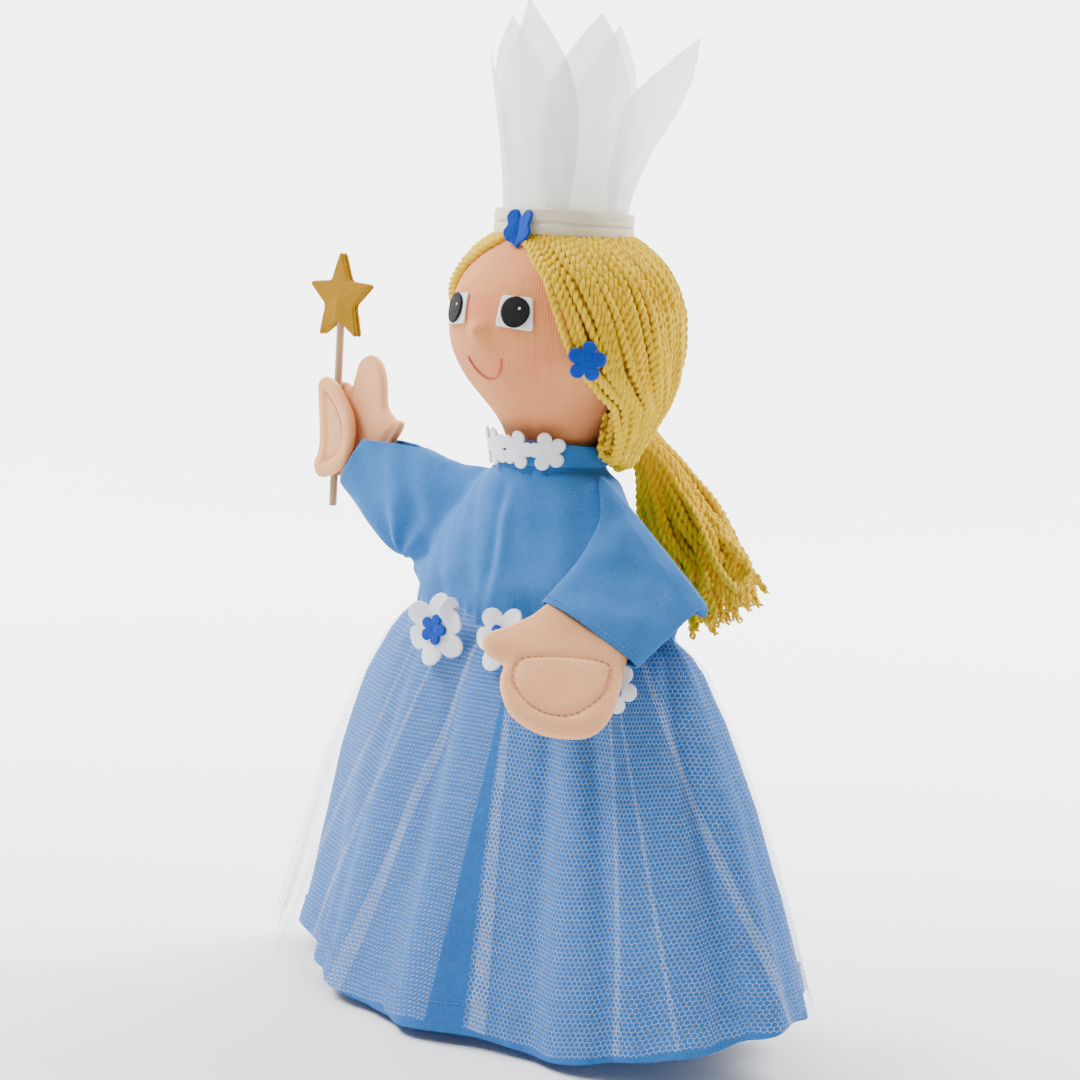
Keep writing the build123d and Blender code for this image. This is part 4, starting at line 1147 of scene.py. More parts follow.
def set_uv(ob, uv):
    layer = ob.data.uv_layers.get("UVMap") or ob.data.uv_layers.new(name="UVMap")
    loops = np.zeros(len(ob.data.loops), np.int32)
    ob.data.loops.foreach_get("vertex_index", loops)
    layer.data.foreach_set("uv", (np.asarray(uv, np.float32) * MM)[loops].ravel())


def cut(ob, point, normal):
    """Removes what lies on the normal's side of a plane."""
    import bmesh
    bm = bmesh.new()
    bm.from_mesh(ob.data)
    bmesh.ops.bisect_plane(bm, geom=bm.verts[:] + bm.edges[:] + bm.faces[:], plane_co=(np.asarray(point) * MM).tolist(), plane_no=unit(normal).tolist(), clear_outer=True, dist=1e-7)
    bm.to_mesh(ob.data)
    bm.free()
    ob.data.update()


def closed_stack(name, rings):
    """Closed solid from a stack of rings (n, m, 3)."""
    n, m = rings.shape[:2]
    faces = grid_faces(n, m, closed_v=True).tolist()
    verts = rings.reshape(-1, 3)
    c0, c1 = rings[0].mean(0), rings[-1].mean(0)
    k = len(verts)
    verts = np.vstack([verts, [c0, c1]])
    for j in range(m):
        j2 = (j + 1) % m
        faces.append((j2, j, k))
        faces.append(((n - 1) * m + j, (n - 1) * m + j2, k + 1))
    ob = mesh(name, verts, faces, None)
    bpy.context.view_layer.objects.active = ob
    return ob


th_ = np.arange(120) / 120 * TAU
zs = np.linspace(4.5, -58, 90)
a_, b_, k_ = bod(zs)
cx, sx = np.cos(th_)[None], np.sin(th_)[None]
ring = np.stack(np.broadcast_arrays(a_[:, None] * sx, -b_[:, None] * np.sign(cx) * np.abs(cx) ** k_[:, None], zs[:, None]), -1)
body = closed_stack("bod", ring)

# right sleeve solid: top and bottom edges in the arm plane, rounded cross section
R_TOP = spline([(-14, -7.0), (-7, -3.0), (1.0, 2.2), (8.4, 8.6), (18.0, 14.2), (27.6, 18.7), (42.9, 24.9), (50, 27.8)], 60)
R_BOT = spline([(-14, 40.0), (-7, 46.0), (0.2, 51.0), (6.0, 54.2), (12.6, 56.2), (20, 57.6), (29.0, 58.6), (41.0, 59.6), (47.6, 60.2)], 60)
w = np.arange(56) / 56 * TAU
u = np.linspace(0, 1, 60)
ht = np.interp(u, [0, 0.2, 0.33, 0.5, 0.8, 1.0], [2.0, 4.2, 5.4, 6.0, 6.2, 6.2])
cv = (1 - np.cos(w)) / 2
sh_ = np.sign(np.sin(w)) * np.abs(np.sin(w)) ** 0.75
pq = R_TOP[:, None] * (1 - cv[None, :, None]) + R_BOT[:, None] * cv[None, :, None]
ring = rplane(pq[..., 0], pq[..., 1], ht[:, None] * sh_[None])
rsl = closed_stack("rsl", ring)
gar = join("bodice_cloth", [body, rsl])
import bmesh
bm = bmesh.new(); bm.from_mesh(gar.data); bmesh.ops.recalc_face_normals(bm, faces=bm.faces[:]); bm.to_mesh(gar.data); bm.free()
apply_mod(gar, "REMESH", mode="VOXEL", voxel_size=0.0014, adaptivity=0.0)
apply_mod(gar, "SMOOTH", factor=0.6, iterations=14)
apply_mod(gar, "SUBSURF", levels=1)
CUFF_R0, CUFF_R1 = rplane(44.2, 25.1), rplane(42.0, 59.6)
cdir = unit(CUFF_R1 - CUFF_R0)
cn = unit(np.cross(cdir, RNn)); cn = cn if cn @ RP > 0 else -cn
cut(gar, CUFF_R0, cn)
cut(gar, V3(0, 0, -53.0), V3(0, 0, -1))
cut(gar, V3(0, 0, 0.9), V3(0, 0, 1))
gar.data.materials.clear(); gar.data.materials.append(M["cloth"])
gar.data.shade_smooth()
P = coords(gar); Nn = normals(gar)
rp = (P - RA) @ RP; rq = (P - RA) @ RT
# soft folds: broad wobble, pulls that run from the armpit, a crease down the chest
d = 0.95 * wob(P * V3(1, 0.6, 1), 17, 31) + 0.34 * wob(P, 8, 32)
pit = rplane(2.0, 53.0)
v = P - pit
ang = np.arctan2(v @ (-RP + 0.0), v @ (-RT))
dist = np.linalg.norm(v * V3(1, 0.4, 1), axis=1)
d += 1.15 * np.sin(ang * 7.5 + 0.8) * np.exp(-((dist - 13) / 10) ** 2)
pit2 = V3(58, 0, -36)
v = P - pit2
ang = np.arctan2(v[:, 2], v[:, 0])
dist = np.linalg.norm(v * V3(1, 0.4, 1), axis=1)
d += 0.8 * np.sin(ang * 8.0) * np.exp(-((dist - 12) / 9) ** 2)
front = P[:, 1] < 0
xc = -2.0 + 0.08 * (P[:, 2] + 25)
d += np.where(front, (0.9 * np.exp(-((P[:, 0] - xc - 2.6) / 2.8) ** 2) - 0.9 * np.exp(-((P[:, 0] - xc + 1.8) / 2.6) ** 2)) * smooth01((-P[:, 2] - 2) / 12) * smooth01((P[:, 2] + 54) / 20), 0)
# slight gathers at the waist seam
d += 0.28 * np.sin(P[:, 0] * 1.15 + 0.6 * np.sin(P[:, 0] * 0.21)) * smooth01((-P[:, 2] - 44) / 9) * (np.abs(P[:, 0]) < 56)
fade = smooth01((-P[:, 2] - 0.0) / 6)
d *= np.where(rp > 5, 1, fade)
d *= smooth01((44 - rp) / 5) * 0.85 + 0.15
P = P + Nn * d[:, None]
set_coords(gar, P)
uvg = np.stack([P[:, 0], P[:, 2]], 1)
uvs = np.stack([rp * 0.9 - 60, rq], 1)
wr = smooth01((rp + 2) / 6)[:, None]
set_uv(gar, uvg * (1 - wr) + (np.stack([P[:, 0], P[:, 2]], 1)) * wr)
apply_mod(gar, "SOLIDIFY", thickness=0.0007, offset=-1.0)
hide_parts("bodice_front", "bodice_back", "right_sleeve")
tuple(rplane(-1.0, 27) * MM)
tuple(rplane(13.0, 27) * MM)
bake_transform(gar)


def stitches(name, line, nrm, pitch, length, r, mat, lift=0.25, n=9):
    """Running stitch along a line of points."""
    line = np.asarray(line); nrm = np.asarray(nrm)
    s = np.concatenate([[0], np.cumsum(np.linalg.norm(np.diff(line, axis=0), axis=1))])
    res = []
    k = int(s[-1] / pitch)
    for i in range(k):
        ss = np.linspace(i * pitch + 0.1, i * pitch + length, n)
        c = np.stack([np.interp(ss, s, line[:, j]) for j in range(3)], 1)
        nn = unit(np.stack([np.interp(ss, s, nrm[:, j]) for j in range(3)], 1))
        res.append(c + nn * (lift * (np.sin(np.linspace(0, math.pi, n)) - 0.25))[:, None])
    return tubes(name, np.array(res), r, mat, sides=6)


# left sleeve: its outer layer comes over the shoulder from the back panel, its inner layer from the chest
L_TOP = spline([(-0.6, -2.4), (3.0, 3.8), (8.2, 11.2), (18.5, 17.8), (28.0, 21.6), (40.6, 25.4)], 70)
L_BOT = spline([(-0.6, 55.2), (6.0, 56.6), (14.0, 58.4), (28.9, 61.6)], 70)
u = np.linspace(0, 1, 84)
ub = np.clip((u - 0.14) / 0.86, 0, 1)
top = np.stack([np.interp(ub, np.linspace(0, 1, 70), L_TOP[:, k]) for k in (0, 1)], 1)
bot = np.stack([np.interp(ub, np.linspace(0, 1, 70), L_BOT[:, k]) for k in (0, 1)], 1)
nv = 41
v = (1 - np.cos(np.linspace(0, math.pi, nv))) / 2
ho = np.interp(u, [0, 0.05, 0.10, 0.14, 0.18, 0.24, 0.4, 0.8, 1.0], [-10.5, -5.0, -1.0, 1.4, 2.6, 3.3, 3.9, 4.3, 4.2])
po = np.interp(u, [0, 0.05, 0.10, 0.14, 0.18], [-2.4, -2.9, -2.6, -1.2, 0.0])
hi = np.interp(u, [0, 0.10, 0.18, 0.26, 0.4, 1.0], [-10.0, -7.0, -5.0, -4.0, -3.7, -4.1])
pi_ = np.interp(u, [0, 0.10, 0.18, 0.26, 0.4], [2.5, 3.5, 3.5, 2.0, 0.0])
cc = (1 - np.abs(2 * v - 1) ** 3.2) ** 0.6
base = top[:, None] * (1 - v[None, :, None]) + bot[:, None] * v[None, :, None]
mid_h = (ho + hi) / 2 * smooth01(1 - u / 0.3)
O = lplane(base[..., 0] + po[:, None], base[..., 1], mid_h[:, None] + (ho - mid_h)[:, None] * cc[None])
I = lplane(base[..., 0] + pi_[:, None] * cc[None] + po[:, None] * (1 - cc[None]), base[..., 1], mid_h[:, None] + (hi - mid_h)[:, None] * cc[None])
tube = np.concatenate([O, I[:, ::-1][:, 1:]], axis=1)      # closed round the sleeve; last column repeats the first
wv = tube.reshape(-1, 3)
nn = np.concatenate([np.tile(LN, (nv, 1)), np.tile(-LN, (nv - 1, 1))])
amp = smooth01(u / 0.3)[:, None]
q_ = (tube - LA) @ LT; p_ = (tube - LA) @ LP
fold = 0.80 * wob(tube, 15, 41) + 0.28 * wob(tube, 7, 42)
fold += 0.9 * np.sin((q_ - 0.5 * p_) * 0.36 + 1.0) * np.exp(-((p_ - 7) / 9) ** 2) * (q_ > 6)
fold += 0.9 * np.exp(-((q_ - 46 - 0.25 * p_) / 3.0) ** 2) * np.exp(-((p_ - 12) / 10) ** 2)
edge_keep = np.concatenate([np.minimum(1, cc * 1.2), np.minimum(1, cc[::-1][1:] * 1.2)])[None]
tube = tube + nn[None] * (fold * amp * edge_keep)[..., None]
uvt = np.stack([p_, q_], -1)
ls = grid("left_sleeve_cloth", tube, M["cloth"], uvt)
bm = bmesh.new(); bm.from_mesh(ls.data)
bmesh.ops.remove_doubles(bm, verts=bm.verts[:], dist=1e-6)
bmesh.ops.recalc_face_normals(bm, faces=bm.faces[:])
bm.to_mesh(ls.data); bm.free()
apply_mod(ls, "SUBSURF", levels=1)
Pn = coords(ls)
Nn = normals(ls)
hsign = np.sign(((Pn - LA) @ LN)[np.argmax((Pn - LA) @ LN)])
apply_mod(ls, "SOLIDIFY", thickness=0.0007, offset=-1.0 if (Nn[np.argmax((Pn - LA) @ LN)] @ LN) > 0 else 1.0)
ls.data.shade_smooth()
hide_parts("left_sleeve")
tuple(lplane(0.5, 27) * MM)
tuple(lplane(12.5, 27) * MM)
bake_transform(ls)

# cuff stitching, riding on the arms
row = np.stack([np.interp(np.linspace(0, 1, 60), np.linspace(0, 1, nv), O[80][:, k]) for k in range(3)], 1)[4:-4]
s1 = stitches("left_cuff_stitches", row + LN * 0.25 + fold[80, 20] * 0 * LN, np.tile(LN, (len(row), 1)), 1.7, 1.1, 0.15, M["blue_thread"])
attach(s1, "left_arm")

# ---------------------------------------------------------------------------
# hands
# ---------------------------------------------------------------------------
LH = closed_spline([(34.0, 26.6), (40.2, 27.2), (46.6, 27.9), (55.3, 26.6), (60.9, 25.3), (64.3, 27.0), (65.2, 31.0), (63.7, 34.9), (63.4, 37.6), (66.2, 40.2), (68.9, 44.4),
                    (70.9, 52.6), (67.8, 61.8), (62.6, 67.8), (55.6, 72.3), (48.4, 72.0), (41.4, 68.0), (34.6, 61.6), (29.0, 56.6), (22.0, 52.0)], 260)
LD = [(58.3, 39.5), (51.3, 43.0), (43.7, 48.6), (36.6, 56.0), (39.2, 60.6), (45.0, 64.0), (54.7, 64.4), (61.1, 60.1), (64.6, 52.7), (64.0, 44.2)]
LDc = closed_spline(LD, 240)


def dist_to(P, line, closed=True):
    a = line
    b = np.roll(line, -1, 0) if closed else line[1:]
    if not closed:
        a = line[:-1]
    ab = b - a
    L2 = np.maximum((ab ** 2).sum(1), 1e-9)
    out = np.zeros(len(P))
    for i in range(0, len(P), 500):
        q = P[i:i + 500, None] - a[None]
        s = np.clip((q * ab[None]).sum(2) / L2, 0, 1)
        out[i:i + 500] = np.linalg.norm(q - s[..., None] * ab[None], axis=2).min(1)
    return out


def lh_dimple(p, side, d):
    g = dist_to(p, LDc)
    wrist = smooth01((40.0 - p[:, 0] * 0.95 - (p[:, 1] - 25) * 0.31) / 4.0)
    return -0.62 * np.exp(-(g / 0.8) ** 2) - 0.22 * np.exp(-(g / 2.6) ** 2) - 1.0 * wrist


lh = plate("left_hand_mitt", LH, lambda p, h: lplane(p[:, 0], p[:, 1], h), 4.6, M["hand"], bulge=0.95, edge_r=2.3, rings=46, dimple=lh_dimple, seed=12, fuzz=0.03, wave=0.16)
tuple(lplane(31.8, 42.9) * MM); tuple(lplane(40.4, 45.6) * MM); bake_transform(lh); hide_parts("left_hand_palm", "left_hand_back", "left_hand_wadding")
for sd, nm in ((1, "front"), (-1, "back")):
    s3 = stitches(f"left_hand_quilting_{nm}", np.vstack([lplane(LDc[:, 0], LDc[:, 1], sd * 2.28), lplane(LDc[:1, 0], LDc[:1, 1], sd * 2.28)]), np.tile(LN * sd, (241, 1)), 2.1, 1.25, 0.19, M["peach_thread"], lift=0.3)
    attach(s3, "left_hand")
    if sd == 1:
        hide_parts("left_hand_stitching")

RHo = closed_spline([(-77.0, 5.0), (-81.4, 8.9), (-85.4, 12.9), (-86.6, 22.0), (-89.7, 28.2), (-95.0, 30.3), (-99.8, 27.6), (-102.2, 21.9), (-104.0, 18.4), (-106.8, 19.6), (-110.6, 19.6),
                     (-113.0, 16.6), (-112.4, 9.3), (-111.8, 0.0), (-112.9, -8.0), (-112.2, -12.6), (-108.6, -14.4), (-103.2, -16.4), (-98.0, -17.4)], 260)


def rh_dimple(p, side, d):
    cuff = np.stack([[-80.3, 8.7], [-102.3, -16.9]])
    g = (p - cuff[0]) @ unit(V3(0.76, -0.65, 0)[:2])
    return -0.55 * smooth01(g / 3.0) - 0.5 * np.exp(-((p[:, 0] + 102.5) / 2.0) ** 2) * np.exp(-((p[:, 1] - 16) / 5) ** 2)


rh = plate("right_hand_mitt", RHo, lambda p, h: np.stack([p[:, 0], 3.35 - h, p[:, 1]], 1), 3.8, M["hand"], bulge=0.30, edge_r=1.9, rings=40, dimple=rh_dimple, seed=13, fuzz=0.03)
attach(rh, "right_hand"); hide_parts("right_hand_palm")
FL = closed_spline([(-110.6, 21.4), (-113.8, 18.6), (-112.9, 9.3), (-112.0, 0.0), (-112.3, -5.0), (-114.4, -10.4), (-111.6, -14.8), (-105.0, -13.4), (-99.9, -10.4), (-96.2, -5.5),
                    (-94.6, 1.8), (-95.9, 9.0), (-100.2, 15.0), (-105.3, 19.8)], 240)
seam = spline([(-110.6, 16.8), (-104.6, 12.4), (-100.4, 6.4), (-99.2, 0.8), (-101.0, -4.4), (-106.4, -7.6), (-111.8, -8.4)], 90)


def fl_dimple(p, side, d):
    g = dist_to(p, seam, closed=False)
    inside = smooth01((d - 3.2) / 2.5)
    return (-0.75 * inside - 0.30 * np.exp(-(g / 0.9) ** 2)) if side > 0 else -0.4 * inside


flp = plate("right_hand_finger_fold", FL, lambda p, h: np.stack([p[:, 0], -3.65 - h, p[:, 1]], 1), 3.9, M["hand"], bulge=0.35, edge_r=1.95, rings=40, dimple=fl_dimple, seed=14, fuzz=0.03)
roll = np.stack([np.interp(np.linspace(0, 1, 60), np.linspace(0, 1, 5), c) for c in ([-112.4, -112.8, -112.5, -112.6, -113.0], [0.2, 0.2, 0.1, 0.2, 0.2], [17.4, 10, 0, -7, -11.5])], 1)
rolls = tubes("rr", spline(roll, 60), np.interp(np.linspace(0, 1, 60), [0, 0.1, 0.5, 0.9, 1], [1.2, 2.2, 2.4, 2.3, 1.4]), M["hand"], sides=22)
flp = join("right_hand_finger_fold", [flp, rolls])
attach(flp, "right_hand"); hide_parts("right_hand_fingers")
ss = stitches("right_hand_seam", np.stack([seam[:, 0], np.full(90, -5.15), seam[:, 1]], 1), np.tile(V3(0, -1, 0), (90, 1)), 1.5, 1.1, 0.14, M["peach_thread"], lift=0.2)
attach(ss, "right_hand"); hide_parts("right_hand_stitching")

# ---------------------------------------------------------------------------
# wand: stick is the CAD node itself; the star is two felt layers sewn round its end
# ---------------------------------------------------------------------------
SX, SC = -108.3, 49.6
sp_ = []
for i in range(10):
    a = math.pi * i / 5
    r = 17.9 if i % 2 == 0 else 7.9
    sp_.append((r * math.sin(a), r * math.cos(a)))
so = round_poly(sp_, [3.4 if i % 2 == 0 else 1.4 for i in range(10)], 300)
for sd, nm in ((1, "front"), (-1, "back")):
    over = lambda p: 0.85 + 0.50 * np.exp(-(p[:, 0] / 3.0) ** 2) * smooth01((5.0 - p[:, 1]) / 9)
    sf = plate(f"star_felt_{nm}", so, (lambda sd: lambda p, h: np.stack([SX + p[:, 0], -sd * (over(p) + h), SC + p[:, 1]], 1))(sd), 1.6, M["yellow_felt"], bulge=0.25, edge_r=0.75, rings=26, seed=15, fuzz=0.05)
    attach(sf, "star"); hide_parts(f"star_{nm}")

# ---------------------------------------------------------------------------
# skirt
# ---------------------------------------------------------------------------
SK = [(-48.0, 57.6, 21.6, 1.6), (-52.6, 58.6, 22.6, 1.55), (-54.5, 61.2, 24.8, 1.4), (-58.0, 65.0, 26.8, 1.25), (-64.0, 69.0, 29.4, 1.1), (-80.0, 77.5, 33.8, 1.0), (-110.0, 91.5, 41.0, 1.0),
      (-145.0, 104.5, 48.5, 1.0), (-180.0, 115.0, 55.0, 1.0)]


def folds(th, z):
    """Radial offset of the broad skirt folds."""
    t = smooth01((-z - 52) / 120)
    g = 0.45 * np.sin(23 * th + 1.3 * np.sin(3 * th)) * np.exp(-((-z - 54) / 16) ** 2)
    f = 0.50 * np.sin(9 * th + 1.1 * np.sin(2 * th + 0.5) + 0.5 * t) + 0.30 * np.sin(14 * th + 0.9 * np.sin(4 * th + 1) + 0.3) + 0.28 * np.sin(5 * th + 2.1)
    dd = (np.degrees(th) + 180) % 360 - 180
    v = -2.6 * np.exp(-((dd + 6.5 - 3 * t) / 3.2) ** 2) - 2.4 * np.exp(-((dd - 26) / 3.4) ** 2) - 2.8 * np.exp(-((dd - 39 - 3 * t) / 3.2) ** 2) - 2.4 * np.exp(-((dd - 70 - 4 * t) / 4.0) ** 2) - 2.0 * np.exp(-((dd + 30) / 4.0) ** 2)
    return g + f * (0.7 + 4.0 * t) + v * (0.35 + 0.9 * smooth01((-z - 56) / 40)) * (1 - 0.35 * t)


HEM = np.array([(-180, -172), (-140, -174), (-90, -174), (-45, -176), (-20, -179), (0, -180), (30, -179.5), (50, -176), (60, -172), (75, -166), (90, -163), (120, -163), (150, -167), (180, -172)], float)


def hem_scale(th):
    d = (np.degrees(th) + 180) % 360 - 180
    h = np.interp(d, HEM[:, 0], HEM[:, 1])
    return (h + 48.0) / (-180.0 + 48.0)


def skirt_point(th, z, grow=0.0, tab=SK):
    d = (np.degrees(th) + 180) % 360 - 180
    t_ = smooth01((-z - 70) / 105)
    if tab is SK:
        grow = grow - 15.0 * np.exp(-((d + 62) / 30) ** 2) * t_
    else:
        grow = grow - 7.0 * np.exp(-((d + 70) / 26) ** 2) * t_ - 2.6 * t_ * smooth01((d - 55) / 30) * smooth01((215 - (d % 360)) / 30)
    a, b, k = interp_table(tab, z)
    c, s = np.cos(th), np.sin(th)
    off = folds(th, z) + grow
    return np.stack([(a + off) * s, -(b + off) * np.sign(c) * np.abs(c) ** k, -48.0 + (z + 48.0) * hem_scale(th)], -1)


nth = 480
th_ = np.linspace(0, TAU, nth + 1)
zs = np.concatenate([np.linspace(-48, -60, 22), np.linspace(-61, -170, 90), np.linspace(-171, -180, 14)])
TH, ZZ = np.meshgrid(th_, zs, indexing="ij")
hemw = 0.55 * smooth01((-ZZ - 170.6) / 0.8)
P = skirt_point(TH, ZZ, hemw)
P[..., 2] += 0.8 * np.sin(TH * 9) * smooth01((-ZZ - 120) / 60)
arcl = np.concatenate([np.zeros((1, len(zs))), np.cumsum(np.linalg.norm(np.diff(P, axis=0), axis=2), 0)])
uv = np.stack([arcl * 0.6 + arcl[:, 80:81] * 0.4, -ZZ], -1)
# lower edge turned up inside
inner = [P[:, -1] * V3(1, 1, 1) + V3(0, 0, -0.35)]
for dz, gr in ((0.2, -0.9), (4, -1.0), (9, -1.1)):
    Q = skirt_point(th_, np.full_like(th_, -180.0 + dz), gr)
    inner.append(Q)
Pfull = np.concatenate([P, np.stack(inner, 1)], 1)
uvf = np.concatenate([uv, np.stack([np.stack([uv[:, -1, 0], 180.3 + k * np.ones(nth + 1)], -1) for k in (0.3, 1.2, 5, 10)], 1)], 1)
us = grid("underskirt_cloth", Pfull, M["cloth_skirt"], uvf)
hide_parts("underskirt", "skirt_hem")
hem_line = P[:, -14] + 0
c2 = unit(hem_line * V3(1, 1, 0))
hs = stitches("hem_stitches", hem_line + c2 * 0.25, c2, 3.0, 2.2, 0.17, M["blue_thread"], lift=0.2)
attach(hs, "skirt")
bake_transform(us)

# net overskirt: one long strip with pressed folds, open at the front
TU = [(-48.6, 58.2, 22.2, 1.6), (-52.8, 59.4, 23.4, 1.55), (-55.0, 62.8, 26.2, 1.35), (-62.0, 69.2, 30.2, 1.1), (-80.0, 79.2, 35.5, 1.0), (-110.0, 94.2, 43.7, 1.0), (-145.0, 108.5, 51.5, 1.0), (-177.0, 119.5, 58.0, 1.0)]
# control points along the strip: angle at the waist, angle at the hem, layer
C = [(13.0, 13.0, 2.0), (14.4, 17.6, 1.9), (13.2, 13.8, 1.0), (14.2, 17.2, 0.2),
     (30.0, 28.0, 0.0), (45.6, 42.8, 0.0), (46.3, 43.9, 0.6), (45.7, 42.5, 1.1), (46.8, 45.5, 0.2), (47.2, 55.0, 0.0), (48.0, 56.2, 0.6), (47.3, 55.0, 1.1), (49.0, 57.5, 0.1),
     (57.5, 83.5, 0.0), (60.2, 88.5, 0.7), (57.4, 85.0, 1.4), (60.0, 88.6, 2.0), (62, 90.5, 0.2)]
for tmid, wd in ((104, 3.0), (128, 2.0), (149, 3.5), (171, 2.2), (190, 3.0), (214, 2.2), (236, 3.2), (258, 2.0), (281, 3.0), (303, 2.0)):
    C += [(tmid - wd / 4, tmid - wd / 2, 0.1), (tmid + wd / 4, tmid + wd / 2, 0.6), (tmid - wd / 4, tmid - wd / 2, 1.2), (tmid + wd / 4, tmid + wd / 2, 0.2)]
C += [(330.0, 322.0, 0.0), (331.0, 324.4, 0.7), (330.0, 322.2, 1.3), (331.2, 324.8, 0.2),
      (344.5, 333.0, 0.0), (345.4, 335.0, 0.6), (344.6, 333.2, 1.2), (345.6, 335.2, 0.1),
      (357.5, 341.5, 0.0), (359.6, 345.5, 0.7), (357.6, 342.0, 1.4), (359.4, 345.2, 0.3),
      (366.0, 358.0, 0.0), (371.6, 366.4, 0.0), (372.6, 367.2, 0.5)]
C = np.array(C, float)
seg = []
for i in range(len(C) - 1):
    dlen = abs(C[i + 1, 1] - C[i, 1]) * 1.5 + 1.0
    seg.append(max(3, int(dlen / 0.9)))
tt = [0.0]
for i, m in enumerate(seg):
    tt += list(i + np.arange(1, m + 1) / m)
tt = np.array(tt)
ctrl = np.arange(len(C))
tw, tb, ly = (np.interp(tt, ctrl, C[:, k]) for k in range(3))
zt = np.concatenate([np.linspace(-48.6, -60, 16), np.linspace(-61.5, -177, 84)])
kz = smooth01((-zt[None] - 53) / 200) * 0 + np.clip((-zt[None] - 53) / 124, 0, 1)
TH = np.radians(tw[:, None] * (1 - kz) + tb[:, None] * kz)
Z2 = np.broadcast_to(zt, TH.shape)
rip = (0.55 * np.sin(TH * 31 + 2.0 * np.sin(TH * 4) + kz * 2) + 0.35 * np.sin(TH * 47 + 1)) * (0.25 + 1.1 * kz)
flare = 3.5 * kz ** 1.6 * np.exp(-((np.degrees(TH) - 324) / 26) ** 2)
P = skirt_point(TH, Z2, rip + ly[:, None] * (0.18 + 0.28 * kz) + flare, TU)
P[..., 2] += 1.2 * np.sin(TH * 7 + 1) * kz
al = np.concatenate([np.zeros((1, len(zt))), np.cumsum(np.linalg.norm(np.diff(P, axis=0), axis=2), 0)])
uv = np.stack([al * 0.55 + al[:, 62:63] * 0.45, -Z2 * 1.06], -1)
tu = grid("tulle_net", P, M["net"], uv)
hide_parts("tulle_overskirt")
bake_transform(tu)

# waist flowers
wf, wc = [], []
for i, (x, y, z, turn, yaw, ro) in enumerate(((-18.2, -30.6, -55.6, 4.0, 8.0, 12.2), (12.8, -30.3, -54.8, 26.0, 9.0, 11.2), (53.4, -22.1, -64.8, 40.0, 29.0, 8.6))):
    o, X_, Y_, n_ = radial_frame(yaw, 0, 0, 3.0)
    o = V3(x, y, z)
    big = ro > 10
    lift = lambda p: 0.012 * (p ** 2).sum(1) * np.sin(np.arctan2(p[:, 1], p[:, 0]) * 3 + i)
    f = plate(f"wf{i}", daisy(6, ro, 5.0 if big else 3.8, turn, power=0.7), plane_map(o + n_ * 1.5, X_, Y_, n_, curl=lift), 1.2, M["white_felt"], edge_r=0.55, rings=20, fuzz=0.07, seed=30 + i, wave=0.25)
    wf.append(f)
    c = plate(f"wc{i}", daisy(5, 5.3 if big else 4.0, 3.1 if big else 2.3, turn + 14, power=0.7), plane_map(o + n_ * 2.75, X_, Y_, n_), 1.2, M["blue_felt"], edge_r=0.55, rings=14, fuzz=0.08, seed=40 + i, wave=0.2,
              dimple=lambda p, s, d: -0.4 * np.exp(-(p ** 2).sum(1) / 0.8))
    wc.append(c)
    if i == 0:
        # one more petal of the first flower stands away from the cloth
        t = np.arange(60) / 60 * TAU
        pet = np.stack([3.7 * np.sin(t), 4.6 * np.cos(t) + 4.0], 1)
        up = unit(Y_ * 0.86 + X_ * 0.42 + n_ * 0.25)
        sx_ = unit(n_ * 0.9 - X_ * 0.35)
        nn_ = unit(np.cross(sx_, up))
        wf.append(plate("wfp", pet, plane_map(o + n_ * 2.4 + Y_ * 4.2 + X_ * 4.5, sx_, up, nn_), 1.2, M["white_felt"], edge_r=0.55, rings=12, fuzz=0.07, seed=50))
wfj = join("waist_flower_felts", wf)
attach(wfj, "skirt"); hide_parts("waist_flowers")
wcj = join("waist_flower_centre_felts", wc)
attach(wcj, "skirt"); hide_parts("waist_flower_centres")

# CAD nodes that stay: the stick and the card finger tube
for nm, mt in (("wand_stick", "wood"), ("finger_tube", "card")):
    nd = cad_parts[nm]
    nd.data.materials.clear()
    nd.data.materials.append(M[mt])

# ---------------------------------------------------------------------------
# stage, light, camera
# ---------------------------------------------------------------------------
fl_mat = Nodes("floor")
fn = fl_mat.noise(fl_mat.obj(), 3.0, 2.0)
floor_mat = fl_mat.done(fl_mat.bsdf(fl_mat.mix(fl_mat.rng(fn, 0.3, 0.7), (0.94, 0.94, 0.945, 1), (0.96, 0.96, 0.96, 1)), 0.9, None, spec=0.05))
me = bpy.data.meshes.new("floor")
bx = [(-6, 6)]
prof = [(-6.0, -0.1835), (1.6, -0.1835)] + [(1.6 + 1.2 * math.sin(a), -0.1835 + 1.2 - 1.2 * math.cos(a)) for a in np.linspace(0.05, math.pi / 2, 14)] + [(2.8, 4.5)]
az = math.radians(44)
fx, fy = V3(math.cos(az), math.sin(az), 0), V3(-math.sin(az), math.cos(az), 0)
vs, fs = [], []
for i, (dd, zz_) in enumerate(prof):
    for sgn in (-6, 6):
        q = fx * sgn + fy * dd
        vs.append((q[0], q[1], zz_))
for i in range(len(prof) - 1):
    fs.append((2 * i, 2 * i + 1, 2 * i + 3, 2 * i + 2))
me.from_pydata(vs, [], fs); me.shade_smooth()
floor = bpy.data.objects.new("floor", me)
bpy.context.scene.collection.objects.link(floor)
me.materials.append(floor_mat)

w_ = bpy.data.worlds.new("studio")
bpy.context.scene.world = w_
w_.use_nodes = True
w_.node_tree.nodes["Background"].inputs[0].default_value = (1.0, 1.0, 1.0, 1)
w_.node_tree.nodes["Background"].inputs[1].default_value = 0.34


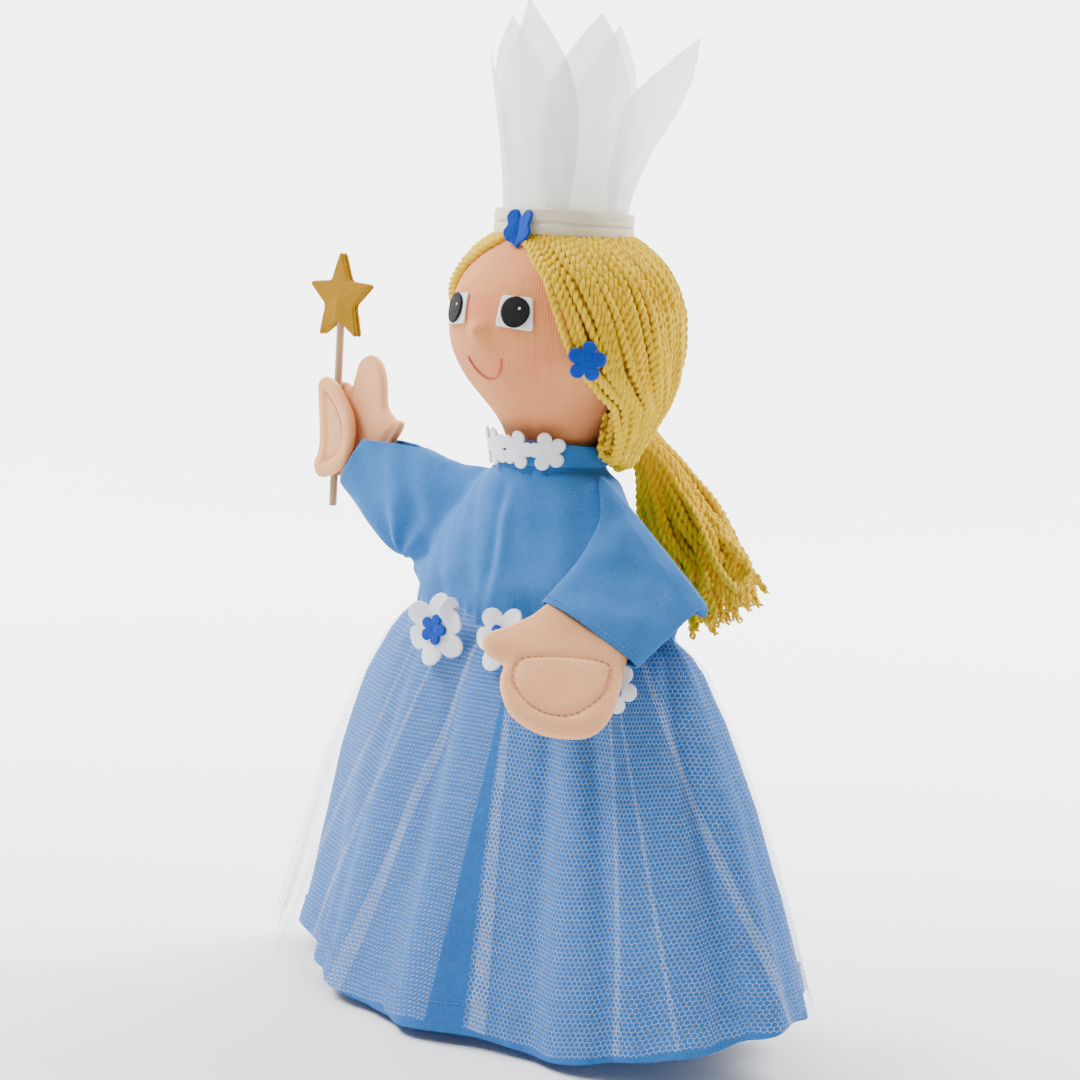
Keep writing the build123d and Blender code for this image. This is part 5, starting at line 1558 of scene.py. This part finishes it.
def area(name, az_, el, dist, size, power, colour=(1, 1, 1)):
    l = bpy.data.lights.new(name, "AREA")
    l.shape = "SQUARE"; l.size = size; l.energy = power; l.color = colour
    o = bpy.data.objects.new(name, l)
    a, e = math.radians(az_), math.radians(el)
    pos = Vector((math.sin(a) * math.cos(e), -math.cos(a) * math.cos(e), math.sin(e))) * dist
    o.location = pos
    o.rotation_euler = (-pos).to_track_quat("-Z", "Y").to_euler()
    bpy.context.scene.collection.objects.link(o)
    return o


area("key", -28, 48, 1.5, 0.5, 21.0)
area("fill", 96, 20, 1.7, 1.0, 1.6)
area("top", 40, 84, 1.4, 1.0, 3.5)
area("back", 150, 30, 1.6, 0.8, 9.0)
# two wide lamps behind the puppet, turned away from it, whiten the backdrop
for k, (sx2, h2) in enumerate(((-1.3, 1.5), (1.3, 1.5))):
    l = bpy.data.lights.new(f"backdrop_{k}", "AREA")
    l.shape = "SQUARE"; l.size = 1.2; l.energy = 170.0
    o = bpy.data.objects.new(f"backdrop_{k}", l)
    p0 = fx * sx2 + fy * 0.75 + V3(0, 0, h2)
    aim = fx * sx2 * 0.4 + fy * 2.7 + V3(0, 0, -0.1)
    o.location = p0.tolist()
    o.rotation_euler = Vector((aim - p0).tolist()).to_track_quat("-Z", "Y").to_euler()
    bpy.context.scene.collection.objects.link(o)

# camera: 44 degrees round to the left hand, 6.3 degrees down, 3 degrees of roll
el_, ro_ = math.radians(6.3), math.radians(3.0)
dview = V3(-math.sin(az) * math.cos(el_), math.cos(az) * math.cos(el_), -math.sin(el_))
right = V3(math.cos(az), math.sin(az), 0)
upv = np.cross(right, dview)
Rv = math.cos(ro_) * right + math.sin(ro_) * upv
Uv = -math.sin(ro_) * right + math.cos(ro_) * upv
pos = V3(621.417, -643.496, 73.761) * MM
cam = bpy.data.cameras.new("cam")
cam.lens = 90; cam.sensor_width = 36; cam.clip_start = 0.01; cam.clip_end = 50
cam.shift_x = -7.087 / 1080
cam.shift_y = -0.327 / 1080
co = bpy.data.objects.new("cam", cam)
co.matrix_world = Matrix(((Rv[0], Uv[0], -dview[0], pos[0]), (Rv[1], Uv[1], -dview[1], pos[1]), (Rv[2], Uv[2], -dview[2], pos[2]), (0, 0, 0, 1)))
bpy.context.scene.collection.objects.link(co)
bpy.context.scene.camera = co
